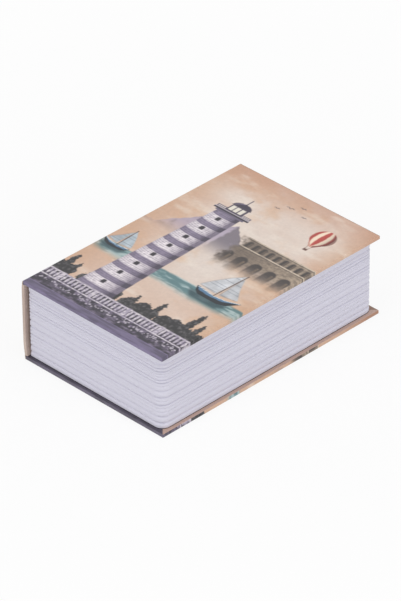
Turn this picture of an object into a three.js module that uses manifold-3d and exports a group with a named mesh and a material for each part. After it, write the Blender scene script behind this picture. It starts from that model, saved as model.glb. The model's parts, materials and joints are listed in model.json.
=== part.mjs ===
// Book diversion safe: a hard cover book case round a moulded page block that hides a lockable steel tray.
// Millimetres, +Z up. The closed book lies on its back cover: spine towards -X, fore-edge towards +X,
// tail edge towards -Y. The origin is the middle of the footprint, on the surface the book lies on.
import * as THREE from 'three';
import { mergeVertices } from 'three/addons/utils/BufferGeometryUtils.js';
import Module from 'manifold-3d';

const wasm = await Module();
wasm.setup();

// The closed book
const bookLength = 180;
const coverWidth = 115;
const bookThickness = 55;
const spineBulge = 1.25;

// Case: greyboard between a printed paper wrap and a paper lining
const wrapThickness = 0.25;
const boardThickness = 2;
const liningThickness = 0.25;
const turnInWidth = 4;
const spineBoardThickness = 1.75;
const jointSetback = 0.5;
const jointGap = 0.3;
const spineLowTuck = 1;
const spineLowTuckHeight = 11.2;
const spineHighTuck = 0.5;
const spineHighTuckHeight = 2.7;

// Page block: a moulding that looks like the edges of leaves on three sides
const foreEdgeSquare = 2.5;
const headSquare = 2;
const spineGap = 1.3;
const coverGap = 0.3;
const blockWall = 2;
const blockInnerWall = 1.5;
const rimWidth = 8;
const rimThickness = 2;
const blockForeRadius = 6;
const blockSpineRadius = 1;
const openingRadius = 1.5;
const grooveDepth = 0.6;
const fineGrooveDepth = 0.3;
const blockFootInset = 0.6;
const blockTopInset = 0.2;
const webThickness = 1.2;
const webFootClearance = 3;
const longWebShares = [-0.25, 0, 0.25];
const shortWebShares = [-0.2, 0.2];

// Heights of the grooves between the bundles of leaves, as shares of the page block's height
const grooveShares = [0.066, 0.157, 0.314, 0.419, 0.511, 0.624, 0.666, 0.785, 0.827, 0.885];
const fineGrooveShares = [0.219, 0.27, 0.37, 0.579, 0.712, 0.751];

// One bundle of leaves between two grooves: height share of the bundle, inset share of the groove beside it
const bundleProfileShares = [[0.14, 0.35], [0.5, 0], [0.86, 0.35]];

// Steel tray and its lid
const sheet = 0.8;
const lidSideClearance = 0.5;
const skirtClearance = 0.3;
const lidRecess = 2.2;
const lidRestGap = 0.3;
const skirtDepth = 3.5;
const trayFlange = 6;
const trayRadius = 2;

// Butt hinge along the spine side
const knuckleRadius = 1.5;
const pinRadius = 0.7;
const pinClearance = 0.15;
const knuckleCount = 11;
const knuckleGap = 0.3;
const hingeEndClearance = 2.4;
const hingeSideClearance = 0.375;
const hingeDrop = 1;
const hingeWallClearance = 0.4;
const hingeLidClearance = 0.3;
const leafThickness = 0.8;
const leafDrop = 12;
const leafWidth = 9;
const hingeRivetShares = [-0.38, 0, 0.38];

// Rivets
const rivetRadius = 1.1;
const rivetHoleClearance = 0.2;
const rivetHeadRadius = 2.2;
const rivetHeadHeight = 0.5;
const rivetCrownShare = 0.6;

// Cam lock in the lid
const lockInset = 19;
const bezelRadius = 9;
const bezelHeight = 1.6;
const bezelBevel = 0.5;
const housingRadius = 6;
const housingFlatWidth = 10.4;
const housingDepth = 11;
const housingHoleClearance = 0.2;
const washerRadius = 9.5;
const washerThickness = 0.5;
const nutFlatWidth = 16;
const nutHeight = 3;
const nutSides = 6;
const plugRadius = 4;
const plugClearance = 0.2;
const plugRecess = 0.3;
const keywayLength = 5.6;
const keywayWidth = 1.6;
const keywayDepth = 4;
const tailWidth = 4.2;
const tailClearance = 0.2;
const tailShortfall = 0.1;
const camGap = 0.5;
const camThickness = 1.5;
const camReach = 15;
const camHubRadius = 5.5;
const camTipRadius = 4;
const screwHeadRadius = 3;
const screwHeadHeight = 1.5;
const screwSlotWidth = 0.8;
const screwSlotDepth = 0.7;
const screwRadius = 1.2;
const screwHoleClearance = 0.3;
const screwLength = 4;

// Strike bracket on the tray's fore-edge wall
const strikeThickness = 1;
const strikeDepth = 7;
const strikeWidth = 24;
const strikeHeight = 8;
const strikeClearance = 0.4;
const strikeRivetShares = [-0.3, 0.3];

// Modelling detail
const cutOverrun = 1;
const cornerSegments = 5;
const smallCornerSegments = 2;
const strikeBendSegments = 4;
const tuckSegments = 4;
const stripSegments = 6;
const roundSegments = 32;
const smallRoundSegments = 16;
const mergeTolerance = 1e-5;

// Colours and finishes
const paint = (color, roughness, metalness) => new THREE.MeshStandardMaterial({ color, roughness, metalness });
const printedPaper = paint('#c9a791', 0.4, 0);
const spinePaper = paint('#c2a99b', 0.45, 0);
const greyboard = paint('#8d8a84', 0.95, 0);
const liningPaper = paint('#2b2a2c', 0.8, 0);
const whitePlastic = paint('#d9d7df', 0.5, 0);
const blackSteel = paint('#26272a', 0.45, 0.4);
const zincSteel = paint('#a9abae', 0.35, 0.9);
const nickel = paint('#c8c9cb', 0.2, 1);
const brass = paint('#b7965a', 0.3, 1);

// Places worked out from the sizes
const foreEdgeX = (coverWidth + spineBulge) / 2;
const spineOuterX = -foreEdgeX;
const boardJointX = foreEdgeX - coverWidth + jointSetback;
const halfLength = bookLength / 2;
const coverThickness = wrapThickness + boardThickness + liningThickness;
const spineThickness = wrapThickness + spineBoardThickness + liningThickness;
const frontCoverZ = bookThickness - coverThickness;
const spineLowZ = coverThickness + jointGap;
const spineHighZ = frontCoverZ - jointGap;

const blockX0 = spineOuterX + spineThickness + spineGap;
const blockX1 = foreEdgeX - foreEdgeSquare;
const blockHalfLength = halfLength - headSquare;
const blockZ0 = coverThickness;
const blockZ1 = frontCoverZ - coverGap;
const openingX0 = blockX0 + rimWidth;
const openingX1 = blockX1 - rimWidth;
const openingHalfLength = blockHalfLength - rimWidth;

const lidTopZ = blockZ1 - lidRecess;
const lidUnderZ = lidTopZ - sheet;
const lidEdgeZ = lidTopZ - skirtDepth;
const lidX1 = openingX1 - lidSideClearance;
const lidHalfLength = openingHalfLength - lidSideClearance;

const trayClearance = lidSideClearance + sheet + skirtClearance;
const trayX0 = openingX0 + trayClearance;
const trayX1 = openingX1 - trayClearance;
const trayHalfLength = openingHalfLength - trayClearance;
const trayZ0 = blockZ0;
const trayZ1 = lidUnderZ - lidRestGap;

const hingeLength = 2 * (trayHalfLength - trayFlange - hingeEndClearance);
const hingeX = openingX0 + hingeSideClearance + knuckleRadius;
const hingeZ = lidTopZ - hingeDrop;
const trayBackZ = hingeZ - knuckleRadius - hingeWallClearance;
const lidX0 = hingeX + knuckleRadius + hingeLidClearance;
const leafEndZ = trayBackZ - leafDrop;
const leafEndX = lidX0 + leafWidth;
const wallRivetZ = (trayBackZ + leafEndZ) / 2;
const lidRivetX = (lidX0 + leafEndX) / 2;

const lockX = lidX1 - lockInset;
const bezelTopZ = lidTopZ + bezelHeight;
const housingEndZ = lidTopZ - housingDepth;
const nutTopZ = lidUnderZ - washerThickness;
const camTopZ = housingEndZ - camGap;
const camLowZ = camTopZ - camThickness;
const strikeLowZ = camTopZ + strikeClearance;
const strikeRivetZ = strikeLowZ + (strikeThickness + strikeHeight) / 2;

// Shape helpers
const boxOf = ([x0, x1], [y0, y1], [z0, z1]) =>
  new THREE.BoxGeometry(x1 - x0, y1 - y0, z1 - z0).translate((x0 + x1) / 2, (y0 + y1) / 2, (z0 + z1) / 2);

function rodAlongZ(radius, z0, z1, segments = roundSegments, topRadius = radius) {
  return new THREE.CylinderGeometry(topRadius, radius, z1 - z0, segments)
    .rotateX(Math.PI / 2)
    .translate(0, 0, (z0 + z1) / 2);
}

const rodAlongX = (radius, x0, x1, segments) => rodAlongZ(radius, x0, x1, segments).rotateY(Math.PI / 2);
const rodAlongY = (radius, y0, y1, segments) => rodAlongZ(radius, -y1, -y0, segments).rotateX(Math.PI / 2);

function roundedRectangle([x0, x1], [y0, y1], radius) {
  const shape = new THREE.Shape();
  shape.absarc(x1 - radius, y1 - radius, radius, 0, Math.PI / 2);
  shape.absarc(x0 + radius, y1 - radius, radius, Math.PI / 2, Math.PI);
  shape.absarc(x0 + radius, y0 + radius, radius, Math.PI, Math.PI * 3 / 2);
  shape.absarc(x1 - radius, y0 + radius, radius, Math.PI * 3 / 2, Math.PI * 2);
  return shape;
}

function prismAlongZ(shape, [z0, z1], curveSegments = cornerSegments) {
  return new THREE.ExtrudeGeometry(shape, { depth: z1 - z0, bevelEnabled: false, curveSegments })
    .translate(0, 0, z0);
}

// The shape's own x and y are the part's X and Z
function prismAlongY(shape, [y0, y1], curveSegments = cornerSegments) {
  return new THREE.ExtrudeGeometry(shape, { depth: y1 - y0, bevelEnabled: false, curveSegments })
    .rotateX(Math.PI / 2)
    .translate(0, y1, 0);
}

function solid(geometry) {
  geometry.deleteAttribute('normal');
  geometry.deleteAttribute('uv');
  const merged = mergeVertices(geometry, mergeTolerance);
  return new wasm.Manifold(new wasm.Mesh({
    numProp: 3,
    vertProperties: merged.attributes.position.array,
    triVerts: new Uint32Array(merged.index.array),
  }));
}

function meshOf(name, material, form) {
  const { vertProperties, triVerts } = form.getMesh();
  const geometry = new THREE.BufferGeometry();
  geometry.setAttribute('position', new THREE.BufferAttribute(vertProperties, 3));
  geometry.setIndex(new THREE.BufferAttribute(triVerts, 1));
  geometry.computeVertexNormals();
  const mesh = new THREE.Mesh(geometry, material);
  mesh.name = name;
  return mesh;
}

const box = (...sides) => solid(boxOf(...sides));
const joined = (forms) => forms.reduce((whole, form) => whole.add(form));

// Covers: the wrap goes round the three free edges and turns in on the inside, and stays open at the joint
function coverPieces(side, outerZ, inwards) {
  const zSpan = (from, to) => [outerZ + inwards * from, outerZ + inwards * to].sort((a, b) => a - b);
  const boardX = [boardJointX, foreEdgeX - wrapThickness];
  const boardY = [wrapThickness - halfLength, halfLength - wrapThickness];
  const liningX = [boardJointX, foreEdgeX - turnInWidth];
  const liningY = [turnInWidth - halfLength, halfLength - turnInWidth];
  const liningZ = wrapThickness + boardThickness;
  const openEnd = ([x0, x1]) => [x0 - cutOverrun, x1];
  const wrap = box([boardJointX, foreEdgeX], [-halfLength, halfLength], zSpan(0, coverThickness))
    .subtract(box(openEnd(boardX), boardY, zSpan(wrapThickness, liningZ)))
    .subtract(box(openEnd(liningX), liningY, zSpan(liningZ - wrapThickness, coverThickness + cutOverrun)));
  return [
    meshOf(`${side}_wrap`, printedPaper, wrap),
    meshOf(`${side}_board`, greyboard, box(boardX, boardY, zSpan(wrapThickness, liningZ))),
    meshOf(`${side}_lining`, liningPaper, box(liningX, liningY, zSpan(liningZ, coverThickness))),
  ];
}

// Spine: its outer face stands proud of the covers and tucks in towards both joints
function spineTuck(z) {
  const low = Math.max(0, 1 - (z - spineLowZ) / spineLowTuckHeight);
  const high = Math.max(0, 1 - (spineHighZ - z) / spineHighTuckHeight);
  return spineLowTuck * low * low + spineHighTuck * high * high;
}

function spineLayer(outerDepth, innerDepth, ySpan) {
  const heights = [];
  for (let step = 0; step <= tuckSegments; step += 1) {
    heights.push(spineLowZ + spineLowTuckHeight * step / tuckSegments);
    heights.push(spineHighZ - spineHighTuckHeight * step / tuckSegments);
  }
  heights.sort((a, b) => a - b);
  const face = (depth) => heights.map((z) => new THREE.Vector2(spineOuterX + spineTuck(z) + depth, z));
  return solid(prismAlongY(new THREE.Shape([...face(innerDepth), ...face(outerDepth).reverse()]), ySpan));
}

function spinePieces() {
  const boardDepth = wrapThickness + spineBoardThickness;
  const boardY = [wrapThickness - halfLength, halfLength - wrapThickness];
  const liningY = [turnInWidth - halfLength, halfLength - turnInWidth];
  const board = spineLayer(wrapThickness, boardDepth, boardY);
  const lining = spineLayer(boardDepth, spineThickness, liningY);
  const wrap = spineLayer(0, spineThickness, [-halfLength, halfLength]).subtract(board).subtract(lining);
  return [
    meshOf('spine_wrap', spinePaper, wrap),
    meshOf('spine_board', greyboard, board),
    meshOf('spine_lining', liningPaper, lining),
  ];
}

// Paper joints: the strips of wrap and lining, without board, that the case bends at
function jointStrip(name, spineEndZ, coverFaceZ) {
  const reach = boardJointX - spineOuterX - spineTuck(spineEndZ);
  const rise = coverFaceZ - spineEndZ;
  const thickness = wrapThickness + liningThickness;
  const quarter = (inset) => {
    const points = [];
    for (let step = 0; step <= stripSegments; step += 1) {
      const turn = Math.PI / 2 * step / stripSegments;
      const x = boardJointX - (reach - inset) * Math.cos(turn);
      const z = spineEndZ + Math.sign(rise) * (Math.abs(rise) - inset) * Math.sin(turn);
      points.push(new THREE.Vector2(x, z));
    }
    points[0].y = spineEndZ;
    points[stripSegments].x = boardJointX;
    return points;
  };
  const shape = new THREE.Shape([...quarter(0), ...quarter(thickness).reverse()]);
  return meshOf(name, spinePaper, solid(prismAlongY(shape, [-halfLength, halfLength])));
}

// Page block: rings round the block, drawn in at each groove on the tail, fore-edge and head
function blockRing(inset, z) {
  const points = [];
  const corner = (centreX, centreY, radiusX, radiusY, startTurn, segments) => {
    for (let step = 0; step <= segments; step += 1) {
      const turn = startTurn + Math.PI / 2 * step / segments;
      points.push(new THREE.Vector3(centreX + radiusX * Math.cos(turn), centreY + radiusY * Math.sin(turn), z));
    }
  };
  const foreX = blockX1 - blockForeRadius;
  const foreY = blockHalfLength - blockForeRadius;
  const spineX = blockX0 + blockSpineRadius;
  const spineY = blockHalfLength - blockSpineRadius;
  const foreRadius = blockForeRadius - inset;
  const endRadius = blockSpineRadius - inset;
  corner(foreX, foreY, foreRadius, foreRadius, 0, cornerSegments);
  corner(spineX, spineY, blockSpineRadius, endRadius, Math.PI / 2, smallCornerSegments);
  corner(spineX, -spineY, blockSpineRadius, endRadius, Math.PI, smallCornerSegments);
  corner(foreX, -foreY, foreRadius, foreRadius, Math.PI * 3 / 2, cornerSegments);
  return points;
}

function bundleLevels() {
  const height = blockZ1 - blockZ0;
  const grooves = [
    { share: 0, depth: blockFootInset },
    ...grooveShares.map((share) => ({ share, depth: grooveDepth })),
    ...fineGrooveShares.map((share) => ({ share, depth: fineGrooveDepth })),
    { share: 1, depth: blockTopInset },
  ].sort((a, b) => a.share - b.share);
  const levels = [];
  grooves.slice(0, -1).forEach((low, index) => {
    const high = grooves[index + 1];
    levels.push({ z: blockZ0 + height * low.share, inset: low.depth });
    for (const [heightShare, insetShare] of bundleProfileShares) {
      const nearest = heightShare < bundleProfileShares[1][0] ? low : high;
      const share = low.share + (high.share - low.share) * heightShare;
      levels.push({ z: blockZ0 + height * share, inset: nearest.depth * insetShare });
    }
  });
  levels.push({ z: blockZ1, inset: blockTopInset });
  return levels;
}

function loft(rings) {
  const count = rings[0].length;
  const index = [];
  const outline = rings[0].map((point) => new THREE.Vector2(point.x, point.y));
  const cap = THREE.ShapeUtils.triangulateShape(outline, []);
  const topStart = (rings.length - 1) * count;
  for (const [a, b, c] of cap) {
    index.push(a, c, b);
    index.push(topStart + a, topStart + b, topStart + c);
  }
  for (let ring = 0; ring < rings.length - 1; ring += 1) {
    for (let point = 0; point < count; point += 1) {
      const next = (point + 1) % count;
      const low = ring * count;
      const high = low + count;
      index.push(low + point, low + next, high + next);
      index.push(low + point, high + next, high + point);
    }
  }
  const geometry = new THREE.BufferGeometry().setFromPoints(rings.flat());
  geometry.setIndex(index);
  return geometry;
}

function pageBlock() {
  const outer = solid(loft(bundleLevels().map(({ z, inset }) => blockRing(inset, z))));
  const ceilingZ = blockZ1 - rimThickness;
  const opening = prismAlongZ(
    roundedRectangle([openingX0, openingX1], [-openingHalfLength, openingHalfLength], openingRadius),
    [blockZ0 - cutOverrun, blockZ1 + cutOverrun],
  );
  const channelRange = [blockZ0 - cutOverrun, ceilingZ];
  const channelOuter = prismAlongZ(
    roundedRectangle(
      [blockX0 + blockWall, blockX1 - blockWall],
      [blockWall - blockHalfLength, blockHalfLength - blockWall],
      blockForeRadius - blockWall,
    ),
    channelRange,
  );
  const channelInner = prismAlongZ(
    roundedRectangle(
      [openingX0 - blockInnerWall, openingX1 + blockInnerWall],
      [-openingHalfLength - blockInnerWall, openingHalfLength + blockInnerWall],
      openingRadius + blockInnerWall,
    ),
    channelRange,
  );
  const webZ = [blockZ0 + webFootClearance, blockZ1];
  const longWebs = longWebShares.map((share) => {
    const y = bookLength * share;
    return box([blockX0, blockX1], [y - webThickness / 2, y + webThickness / 2], webZ);
  });
  const shortWebs = shortWebShares.map((share) => {
    const x = (blockX0 + blockX1) / 2 + coverWidth * share;
    return box([x - webThickness / 2, x + webThickness / 2], [-blockHalfLength, blockHalfLength], webZ);
  });
  const channel = solid(channelOuter)
    .subtract(solid(channelInner))
    .subtract(joined([...longWebs, ...shortWebs]));
  return meshOf('page_block', whitePlastic, outer.subtract(channel).subtract(solid(opening)));
}

// Steel tray: folded sheet with a flange turned in round three sides and a lower wall under the hinge
function steelTray() {
  const walls = (inset, zSpan) => solid(prismAlongZ(
    roundedRectangle(
      [trayX0 + inset, trayX1 - inset],
      [inset - trayHalfLength, trayHalfLength - inset],
      Math.max(trayRadius - inset, sheet),
    ),
    zSpan,
  ));
  const shell = walls(0, [trayZ0, trayZ1]).subtract(walls(sheet, [trayZ0 + sheet, trayZ1 - sheet]));
  const mouthX = [trayX0 - cutOverrun, trayX1 - trayFlange];
  const mouthY = [trayFlange - trayHalfLength, trayHalfLength - trayFlange];
  const hingeWallX = [trayX0 - cutOverrun, trayX0 + trayRadius];
  const hingeWallY = [trayRadius - trayHalfLength, trayHalfLength - trayRadius];
  return meshOf('steel_tray', blackSteel, shell
    .subtract(box(mouthX, mouthY, [trayZ1 - sheet - cutOverrun, trayZ1 + cutOverrun]))
    .subtract(box(hingeWallX, hingeWallY, [trayBackZ, trayZ1 + cutOverrun]))
    .subtract(joined(hingeRivetPlaces().map((y) => wallHole(trayX0, y, wallRivetZ))))
    .subtract(joined(strikeRivetPlaces().map((y) => wallHole(trayX1, y, strikeRivetZ)))));
}

function hingeRivetPlaces() {
  return hingeRivetShares.map((share) => hingeLength * share);
}

function strikeRivetPlaces() {
  return strikeRivetShares.map((share) => strikeWidth * share);
}

function wallHole(x, y, z) {
  const radius = rivetRadius + rivetHoleClearance;
  const reach = strikeThickness + leafThickness + cutOverrun;
  return solid(rodAlongX(radius, x - reach, x + reach, smallRoundSegments).translate(0, y, z));
}

// Lid: a shallow pan whose skirt hangs outside the tray on the three sides away from the hinge
function lid() {
  const outerRadius = trayRadius + skirtClearance + sheet;
  const farX = lidX0 - outerRadius - cutOverrun;
  const plan = (inset) => [[farX, lidX1 - inset], [inset - lidHalfLength, lidHalfLength - inset]];
  const pan = solid(prismAlongZ(roundedRectangle(...plan(0), outerRadius), [lidEdgeZ, lidTopZ]))
    .subtract(solid(prismAlongZ(
      roundedRectangle(...plan(sheet), outerRadius - sheet),
      [lidEdgeZ - cutOverrun, lidUnderZ],
    )));
  const beyondEdge = box([farX - cutOverrun, lidX0], [-halfLength, halfLength], [0, bookThickness]);
  const rivetHoles = hingeRivetPlaces().map((y) => lidRivetHole(y));
  return meshOf('lid', blackSteel, pan
    .subtract(beyondEdge)
    .subtract(lockBody(housingHoleClearance, [lidUnderZ - cutOverrun, lidTopZ + cutOverrun]))
    .subtract(joined(rivetHoles)));
}

function lidRivetHole(y) {
  const range = [lidUnderZ - leafThickness - cutOverrun, lidTopZ + cutOverrun];
  const radius = rivetRadius + rivetHoleClearance;
  return solid(rodAlongZ(radius, ...range, smallRoundSegments).translate(lidRivetX, y, 0));
}

// Butt hinge: knuckles of the two leaves take turns along the pin
function knuckleSpans(parity) {
  const pitch = hingeLength / knuckleCount;
  const spans = [];
  for (let index = parity; index < knuckleCount; index += 2) {
    const start = index * pitch - hingeLength / 2;
    spans.push([start + knuckleGap / 2, start + pitch - knuckleGap / 2]);
  }
  return spans;
}

function hingeBore() {
  const radius = pinRadius + pinClearance;
  return solid(rodAlongY(radius, -hingeLength, hingeLength, smallRoundSegments).translate(hingeX, 0, hingeZ));
}

function hingeLeaf(parity, plate, tab) {
  const knuckles = knuckleSpans(parity).flatMap((span) => [
    solid(rodAlongY(knuckleRadius, ...span, smallRoundSegments).translate(hingeX, 0, hingeZ)),
    tab(span),
  ]);
  return joined([plate, ...knuckles]).subtract(hingeBore());
}

function trayHingeLeaf() {
  const leafX = [trayX0 - leafThickness, trayX0];
  const plate = box(leafX, [-hingeLength / 2, hingeLength / 2], [leafEndZ, trayBackZ]);
  const leaf = hingeLeaf(0, plate, (span) => box(leafX, span, [leafEndZ, hingeZ]));
  const holes = hingeRivetPlaces().map((y) => wallHole(trayX0, y, wallRivetZ));
  return meshOf('tray_hinge_leaf', zincSteel, leaf.subtract(joined(holes)));
}

function lidHingeLeaf() {
  const leafZ = [lidUnderZ - leafThickness, lidUnderZ];
  const plate = box([lidX0, leafEndX], [-hingeLength / 2, hingeLength / 2], leafZ);
  const leaf = hingeLeaf(1, plate, (span) => box([hingeX, leafEndX], span, leafZ));
  const holes = hingeRivetPlaces().map((y) => lidRivetHole(y));
  return meshOf('lid_hinge_leaf', zincSteel, leaf.subtract(joined(holes)));
}

function hingePin() {
  const pin = rodAlongY(pinRadius, -hingeLength / 2, hingeLength / 2, smallRoundSegments);
  return meshOf('hinge_pin', zincSteel, solid(pin.translate(hingeX, 0, hingeZ)));
}

// A rivet with a crowned head at each end of its grip, standing on Z = 0
function rivet(name, grip) {
  const crownRadius = rivetHeadRadius * rivetCrownShare;
  const shank = rodAlongZ(rivetRadius, -rivetHeadHeight / 2, grip + rivetHeadHeight / 2, smallRoundSegments);
  const upper = rodAlongZ(rivetHeadRadius, grip, grip + rivetHeadHeight, smallRoundSegments, crownRadius);
  const lower = rodAlongZ(crownRadius, -rivetHeadHeight, 0, smallRoundSegments, rivetHeadRadius);
  return meshOf(name, zincSteel, joined([solid(shank), solid(upper), solid(lower)]));
}

function wallRivets(prefix, grip, x, places, z) {
  return places.map((y, index) => {
    const piece = rivet(`${prefix}_${index + 1}`, grip);
    piece.rotation.y = Math.PI / 2;
    piece.position.set(x, y, z);
    return piece;
  });
}

function lidRivets() {
  return hingeRivetPlaces().map((y, index) => {
    const piece = rivet(`lid_rivet_${index + 1}`, leafThickness + sheet);
    piece.position.set(lidRivetX, y, lidUnderZ - leafThickness);
    return piece;
  });
}

// Cam lock, worked out round its own axis and placed at lockX
function lockBody(clearance, zSpan) {
  const flat = housingFlatWidth / 2 + clearance;
  const radius = housingRadius + clearance;
  return solid(rodAlongZ(radius, ...zSpan))
    .intersect(box([-bezelRadius, bezelRadius], [-flat, flat], zSpan))
    .translate([lockX, 0, 0]);
}

const onLockAxis = (form) => form.translate([lockX, 0, 0]);

function lockHousing() {
  const bevelZ = bezelTopZ - bezelBevel;
  const bezel = solid(rodAlongZ(bezelRadius, lidTopZ, bevelZ))
    .add(solid(rodAlongZ(bezelRadius, bevelZ, bezelTopZ, roundSegments, bezelRadius - bezelBevel)));
  const bore = rodAlongZ(plugRadius + plugClearance, housingEndZ - cutOverrun, bezelTopZ + cutOverrun);
  const housing = onLockAxis(bezel)
    .add(lockBody(0, [housingEndZ, lidTopZ + bezelHeight / 2]))
    .subtract(onLockAxis(solid(bore)));
  return meshOf('lock_housing', nickel, housing);
}

function lockWasher() {
  const range = [lidUnderZ - washerThickness, lidUnderZ];
  const hole = rodAlongZ(housingRadius + housingHoleClearance, range[0] - cutOverrun, range[1] + cutOverrun);
  const washer = solid(rodAlongZ(washerRadius, ...range)).subtract(solid(hole));
  return meshOf('lock_washer', zincSteel, onLockAxis(washer));
}

function lockNut() {
  const range = [nutTopZ - nutHeight, nutTopZ];
  const cornerRadius = nutFlatWidth / 2 / Math.cos(Math.PI / nutSides);
  const hole = rodAlongZ(housingRadius + housingHoleClearance, range[0] - cutOverrun, range[1] + cutOverrun);
  const nut = solid(rodAlongZ(cornerRadius, ...range, nutSides)).subtract(solid(hole));
  return meshOf('lock_nut', nickel, onLockAxis(nut));
}

function lockPlug() {
  const faceZ = bezelTopZ - plugRecess;
  const tailEndZ = camLowZ + tailShortfall;
  const halfTail = tailWidth / 2;
  const keyway = box(
    [-keywayLength / 2, keywayLength / 2],
    [-keywayWidth / 2, keywayWidth / 2],
    [faceZ - keywayDepth, faceZ + cutOverrun],
  );
  const screwHole = rodAlongZ(
    screwRadius + screwHoleClearance,
    tailEndZ - cutOverrun,
    camLowZ + screwLength + screwHoleClearance,
    smallRoundSegments,
  );
  const plug = solid(rodAlongZ(plugRadius, camTopZ + tailShortfall, faceZ))
    .add(box([-halfTail, halfTail], [-halfTail, halfTail], [tailEndZ, housingEndZ]))
    .subtract(keyway)
    .subtract(solid(screwHole));
  return meshOf('lock_plug', brass, onLockAxis(plug));
}

// The cam points to the tail while the lock is open, and turns to the fore-edge to lock
function cam() {
  const range = [camLowZ, camTopZ];
  const tipY = camTipRadius - camReach;
  const halfHole = tailWidth / 2 + tailClearance;
  const bar = joined([
    solid(rodAlongZ(camHubRadius, ...range)),
    box([-camTipRadius, camTipRadius], [tipY, 0], range),
    solid(rodAlongZ(camTipRadius, ...range).translate(0, tipY, 0)),
  ]);
  const hole = box([-halfHole, halfHole], [-halfHole, halfHole], [camLowZ - cutOverrun, camTopZ + cutOverrun]);
  return meshOf('cam', zincSteel, onLockAxis(bar.subtract(hole)));
}

function camScrew() {
  const headLowZ = camLowZ - screwHeadHeight;
  const shankZ = [camLowZ - screwHeadHeight / 2, camLowZ + screwLength];
  const screw = solid(rodAlongZ(screwHeadRadius, headLowZ, camLowZ))
    .add(solid(rodAlongZ(screwRadius, ...shankZ, smallRoundSegments)))
    .subtract(box(
      [-bezelRadius, bezelRadius],
      [-screwSlotWidth / 2, screwSlotWidth / 2],
      [headLowZ - cutOverrun, headLowZ + screwSlotDepth],
    ));
  return meshOf('cam_screw', zincSteel, onLockAxis(screw));
}

// Strike: an angle riveted inside the fore-edge wall, whose ledge the cam turns under
function strikeBracket() {
  const wallX = trayX1 - sheet;
  const topZ = strikeLowZ + strikeThickness + strikeHeight;
  const shape = new THREE.Shape();
  shape.moveTo(wallX - strikeDepth, strikeLowZ);
  shape.lineTo(wallX - strikeThickness, strikeLowZ);
  shape.absarc(wallX - strikeThickness, strikeLowZ + strikeThickness, strikeThickness, -Math.PI / 2, 0);
  shape.lineTo(wallX, topZ);
  shape.lineTo(wallX - strikeThickness, topZ);
  shape.lineTo(wallX - strikeThickness, strikeLowZ + strikeThickness);
  shape.lineTo(wallX - strikeDepth, strikeLowZ + strikeThickness);
  const angle = solid(prismAlongY(shape, [-strikeWidth / 2, strikeWidth / 2], strikeBendSegments));
  const holes = strikeRivetPlaces().map((y) => wallHole(trayX1, y, strikeRivetZ));
  return meshOf('strike_bracket', zincSteel, angle.subtract(joined(holes)));
}

// The assembly, grouped as it moves
function groupOf(...pieces) {
  const group = new THREE.Group();
  group.add(...pieces);
  return group;
}

const lockRotor = groupOf(lockPlug(), cam(), camScrew());
const lidAssembly = groupOf(
  lid(),
  lidHingeLeaf(),
  ...lidRivets(),
  lockHousing(),
  lockWasher(),
  lockNut(),
  lockRotor,
);
const frontCover = groupOf(...coverPieces('front', bookThickness, -1));
const spine = groupOf(
  ...spinePieces(),
  jointStrip('front_joint_strip', spineHighZ, bookThickness),
  frontCover,
);
const book = groupOf(
  ...coverPieces('back', 0, 1),
  jointStrip('back_joint_strip', spineLowZ, 0),
  pageBlock(),
  steelTray(),
  trayHingeLeaf(),
  hingePin(),
  ...wallRivets('hinge_rivet', leafThickness + sheet, trayX0 - leafThickness, hingeRivetPlaces(), wallRivetZ),
  strikeBracket(),
  ...wallRivets(
    'strike_rivet',
    strikeThickness + sheet,
    trayX1 - sheet - strikeThickness,
    strikeRivetPlaces(),
    strikeRivetZ,
  ),
  spine,
  lidAssembly,
);

export default book;
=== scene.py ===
# %% [markdown]
# # A book that hides a steel tray
# The outside is a case-bound book: printed, film-laminated paper round grey board, over a white moulding
# whose three open sides are ribbed like the edges of leaves. The inside is a black steel tray with a
# hinged, lockable lid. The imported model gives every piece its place. This lesson gives each piece its
# finish, and a finer shape where the finish needs one.

# %% Load the frame
import json
import math

import bmesh
import bpy
import numpy as np
from mathutils import Matrix, Vector


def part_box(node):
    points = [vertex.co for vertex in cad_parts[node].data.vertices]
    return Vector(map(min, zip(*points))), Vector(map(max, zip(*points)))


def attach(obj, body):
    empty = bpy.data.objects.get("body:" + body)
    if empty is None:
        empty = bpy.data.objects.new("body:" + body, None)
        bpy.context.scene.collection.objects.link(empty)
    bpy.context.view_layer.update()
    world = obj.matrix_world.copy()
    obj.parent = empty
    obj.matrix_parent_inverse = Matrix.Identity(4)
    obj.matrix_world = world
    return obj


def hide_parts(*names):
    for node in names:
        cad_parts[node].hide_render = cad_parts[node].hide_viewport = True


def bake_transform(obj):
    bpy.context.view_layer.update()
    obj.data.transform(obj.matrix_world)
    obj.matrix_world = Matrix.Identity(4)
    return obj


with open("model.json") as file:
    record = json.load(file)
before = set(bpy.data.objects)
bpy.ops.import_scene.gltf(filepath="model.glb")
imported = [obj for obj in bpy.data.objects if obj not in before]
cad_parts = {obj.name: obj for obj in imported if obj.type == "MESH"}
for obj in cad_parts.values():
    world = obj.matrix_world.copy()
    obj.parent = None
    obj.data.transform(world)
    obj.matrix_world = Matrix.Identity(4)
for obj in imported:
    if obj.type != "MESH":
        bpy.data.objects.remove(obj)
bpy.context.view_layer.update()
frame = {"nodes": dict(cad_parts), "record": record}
MM = 0.001

# %% [markdown]
# ## The view
# The photograph was taken with a long lens from high up on the fore-edge and tail side. The camera's place
# and direction were worked out from the outline's straight edges, so the book's corners land where they do
# there.

# %% Camera
bpy.context.scene.view_settings.view_transform = "Standard"
FILM_MM = 36.0
LENS_MM = 284.76
BOARD_SHIFT = Vector((0.000625, 0.0, 0.0))
CAMERA_PLACE = Vector((1.652737, -1.639705, 1.567075)) + BOARD_SHIFT
CAMERA_LOOK = Vector((-0.59220886, 0.58685807, -0.55216508))
CAMERA_RIGHT = Vector((0.7071273, 0.70705228, -0.00693218))


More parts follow.
